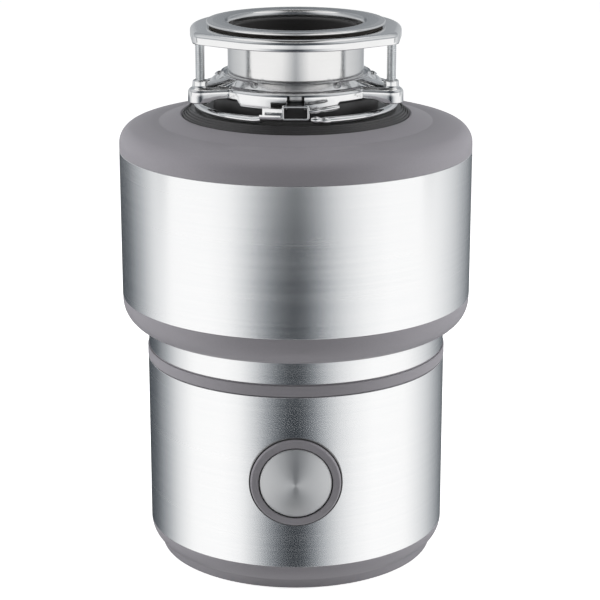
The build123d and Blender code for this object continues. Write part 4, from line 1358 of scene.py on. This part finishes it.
@dataclass
class InnerWorks:
    """Finishes of the pieces that the casing hides."""

    bench: Bench

    def build(self) -> None:
        """Dresses every hidden piece of the frame."""
        dress = self.bench.dress
        dress(BLACK_PLASTIC, "motor_shell", "start_capacitor", "overload_protector")
        dress(FOAM, "front_insulation", "right_insulation", "left_insulation")
        dress(STAINLESS, "hopper", "shredder_ring", "shredder_plate", "undercutter", "lug_rivets")
        dress(STAINLESS, "swivel_lug_1", "swivel_lug_2")
        dress(CAST, "lower_end_bell")
        dress(BRONZE, "upper_bush", "lower_bush")
        dress(LAMINATION, "stator_core", "rotor_core")
        dress(COPPER, "stator_winding")
        dress(SHAFT, "motor_shaft")
        dress(BLACK_RUBBER, "shaft_seal")
        dress(ZINC, "through_bolts", "joint_screws", "plate_nut")


@dataclass
class Studio:
    """White room, soft lamps, cards that the steel mirrors, pale floor and the camera.

    A card is a row of pairs: an angle in degrees from the front, and how clear the card is there.
    """

    target: Triple = (2.6, 0.0, 161.4)
    distance: float = 1300.0
    elevation: float = 16.4
    lens: float = 121.5
    diffuse_light: float = 0.27
    side_lamp_at: Pair = (1250.0, 330.0)
    side_lamp: Pair = (0.9, 1.2)
    side_power: float = 19.0
    top_lamp_at: Triple = (0.0, -120.0, 1300.0)
    top_lamp: Pair = (0.8, 0.8)
    top_power: float = 5.0
    drum_r: float = 520.0
    drum: Pair = (-700.0, 1000.0)
    low_card: Card = (
        (-180, 0.04), (-152, 0.06), (-128, 0.13), (-110, 0.40), (-95, 0.76), (-80, 1.0), (-52, 1.0), (-40, 0.92),
        (-30, 0.64), (-21, 0.32), (-13, 0.13), (-6, 0.05), (0, 0.035), (6, 0.07), (13, 0.21), (21, 0.46),
        (30, 0.70), (42, 0.90), (56, 1.0), (86, 1.0), (98, 0.86), (111, 0.68), (126, 0.42), (148, 0.15),
        (180, 0.04),
    )
    middle_card: Card = (
        (0, 0.48), (12, 0.80), (22, 1.0), (79, 1.0), (81, 0.45), (88, 0.45), (90, 0.75), (125, 0.60), (150, 0.42),
        (180, 0.75),
    )
    rim_card: Card = (
        (0, 0.08), (25, 0.12), (60, 0.40), (100, 0.50), (140, 0.60), (168, 0.44), (175, 0.24), (180, 0.10),
    )
    top_card: Card = (
        (0, 0.05), (20, 0.08), (50, 0.60), (80, 0.70), (120, 0.45), (160, 0.30), (180, 0.40),
    )
    card_fades: tuple[Pair, Pair, Pair] = ((186.0, 212.0), (335.0, 375.0), (450.0, 490.0))
    lid_r: float = 420.0
    lid_clear: Pair = (0.08, 0.85)
    lid_fade: Pair = (110.0, 230.0)
    floor_r: float = 6000.0
    floor_glow: float = 0.72

    def build(self) -> None:
        """Sets the room up."""
        self.world()
        far, height = self.side_lamp_at
        for name, side in (("left_lamp", -180.0), ("right_lamp", 0.0)):
            self.lamp(name, on_circle(far, side, height), self.side_lamp, self.side_power)
        self.lamp("top_lamp", Vector(self.top_lamp_at), self.top_lamp, self.top_power)
        self.cards()
        self.lid()
        self.floor()
        self.camera()
        bpy.context.scene.view_settings.view_transform = "Standard"

    def world(self) -> None:
        """White to the camera and in reflections, dimmer as a lamp."""
        world = bpy.data.worlds.new("white_room")
        bpy.context.scene.world = world
        wires = Wires(world)
        path = wires.add("ShaderNodeLightPath")
        seen = path.outputs["Is Camera Ray"]
        for ray in ("Is Glossy Ray", "Is Transmission Ray"):
            seen = wires.math("MAXIMUM", seen, path.outputs[ray])
        dim, white = (
            wires.add("ShaderNodeBackground", {"Color": (1, 1, 1, 1), "Strength": strength}).outputs[0]
            for strength in (self.diffuse_light, 1.0)
        )
        both = wires.add("ShaderNodeMixShader", {0: seen, 1: dim, 2: white})
        wires.add("ShaderNodeOutputWorld", {"Surface": both.outputs[0]})

    def lamp(self, name: str, place: Vector, size: Pair, power: float) -> None:
        """Adds an area lamp that faces the object.

        Args:
            name: Its name.
            place: Where it stands.
            size: Its width and height in metres.
            power: Its power in watts.
        """
        light = bpy.data.lights.new(name, "AREA")
        light.shape = "RECTANGLE"
        light.size, light.size_y = size
        light.energy = power
        lamp = bpy.data.objects.new(name, light)
        lamp.location = place * MM
        aim = Vector(self.target) - place
        lamp.rotation_euler = aim.to_track_quat("-Z", "Y").to_euler()
        lamp.visible_camera = False
        lamp.visible_glossy = False
        bpy.context.scene.collection.objects.link(lamp)

    def sheet(self, name: str, section: Sequence[Pair]) -> Wires:
        """Sheet that only reflections see.

        Args:
            name: Its name.
            section: Its section, which goes round the axis.

        Returns:
            The wires of its material.
        """
        sheet = Form().lathe(section, 96, False).build(name)
        sheet.visible_camera = False
        sheet.visible_shadow = False
        sheet.visible_diffuse = False
        material = bpy.data.materials.new(name)
        sheet.data.materials.append(material)
        return Wires(material)

    def clearness(self, wires: Wires, turn: Socket, card: Card) -> Socket:
        """Clearness of a card by the share of a turn; a card that starts at the front goes for both sides."""
        both = [*((-angle, clear) for angle, clear in card[:0:-1]), *card] if card[0][0] == 0 else card
        return wires.ramp(turn, [(0.5 + angle / 360, (c**1.05, c, c**0.95)) for angle, c in both])

    def cards(self) -> None:
        """Drum of cards that fade into one another upwards."""
        wires = self.sheet("cards", [(self.drum_r, height) for height in self.drum])
        at = wires.add("ShaderNodeSeparateXYZ", {"Vector": wires.where()}).outputs
        around = wires.math("ARCTAN2", at["X"], wires.math("MULTIPLY", at["Y"], -1.0))
        turn = wires.spread(around, 0.0, 1.0, (-pi, pi))
        clear = self.clearness(wires, turn, self.low_card)
        for (start, end), card in zip(self.card_fades, (self.middle_card, self.rim_card, self.top_card)):
            share = wires.spread(at["Z"], 0.0, 1.0, (start * MM, end * MM))
            shades = {"Fac": share, 1: clear, 2: self.clearness(wires, turn, card)}
            clear = wires.add("ShaderNodeMixRGB", shades).outputs[0]
        wires.end("ShaderNodeBsdfTransparent", {"Color": clear})

    def lid(self) -> None:
        """Card above, dark over the middle and clear at both sides."""
        wires = self.sheet("lid", [(0.0, self.drum[1]), (self.lid_r, self.drum[1])])
        at = wires.add("ShaderNodeSeparateXYZ", {"Vector": wires.where()}).outputs
        start, end = self.lid_fade
        clear = wires.spread(wires.math("ABSOLUTE", at["X"]), *self.lid_clear, (start * MM, end * MM))
        wires.end("ShaderNodeBsdfTransparent", {"Color": clear})

    def floor(self) -> None:
        """Pale floor that takes the object's shadow."""
        floor = Form().lathe([(0.0, 0.0), (self.floor_r, 0.0)], 96, False).build("floor")
        material = bpy.data.materials.new("pale_floor")
        wires = Wires(material)
        seen = wires.add("ShaderNodeLightPath").outputs["Is Camera Ray"]
        inputs = {
            "Base Color": wires.shades(wires.noise(even(6.0)), (0.93, 0.93, 0.93), 0.004),
            "Roughness": 0.9,
            "Specular IOR Level": 0.1,
            "Emission Color": (1.0, 1.0, 1.0, 1.0),
            "Emission Strength": wires.spread(seen, 0.0, self.floor_glow, (0.0, 1.0)),
        }
        wires.end("ShaderNodeBsdfPrincipled", inputs)
        floor.data.materials.append(material)
        floor.visible_glossy = False

    def camera(self) -> None:
        """Camera as the photograph has it, a little above the object."""
        camera = bpy.data.cameras.new("camera")
        camera.lens = self.lens
        camera.sensor_width = 36.0
        camera.clip_end = 50.0
        view = bpy.data.objects.new("camera", camera)
        back = Vector((0, -cos(radians(self.elevation)), sin(radians(self.elevation))))
        view.location = (Vector(self.target) + back * self.distance) * MM
        view.rotation_euler = (-back).to_track_quat("-Z", "Y").to_euler()
        bpy.context.scene.collection.objects.link(view)
        bpy.context.scene.camera = view


def main() -> None:
    """Builds the object's looks and the room round it."""
    logging.basicConfig(level=logging.INFO, format="%(name)s: %(message)s")
    bench = Bench()
    upper = (SinkClamp, MountingRing, LockRing, ThroatRubber)
    for group in (MotorHousing, UpperHousing, *upper, BackFittings, Underside, InnerWorks):
        group(bench).build()
    Studio().build()


if __name__ == "__main__":
    main()
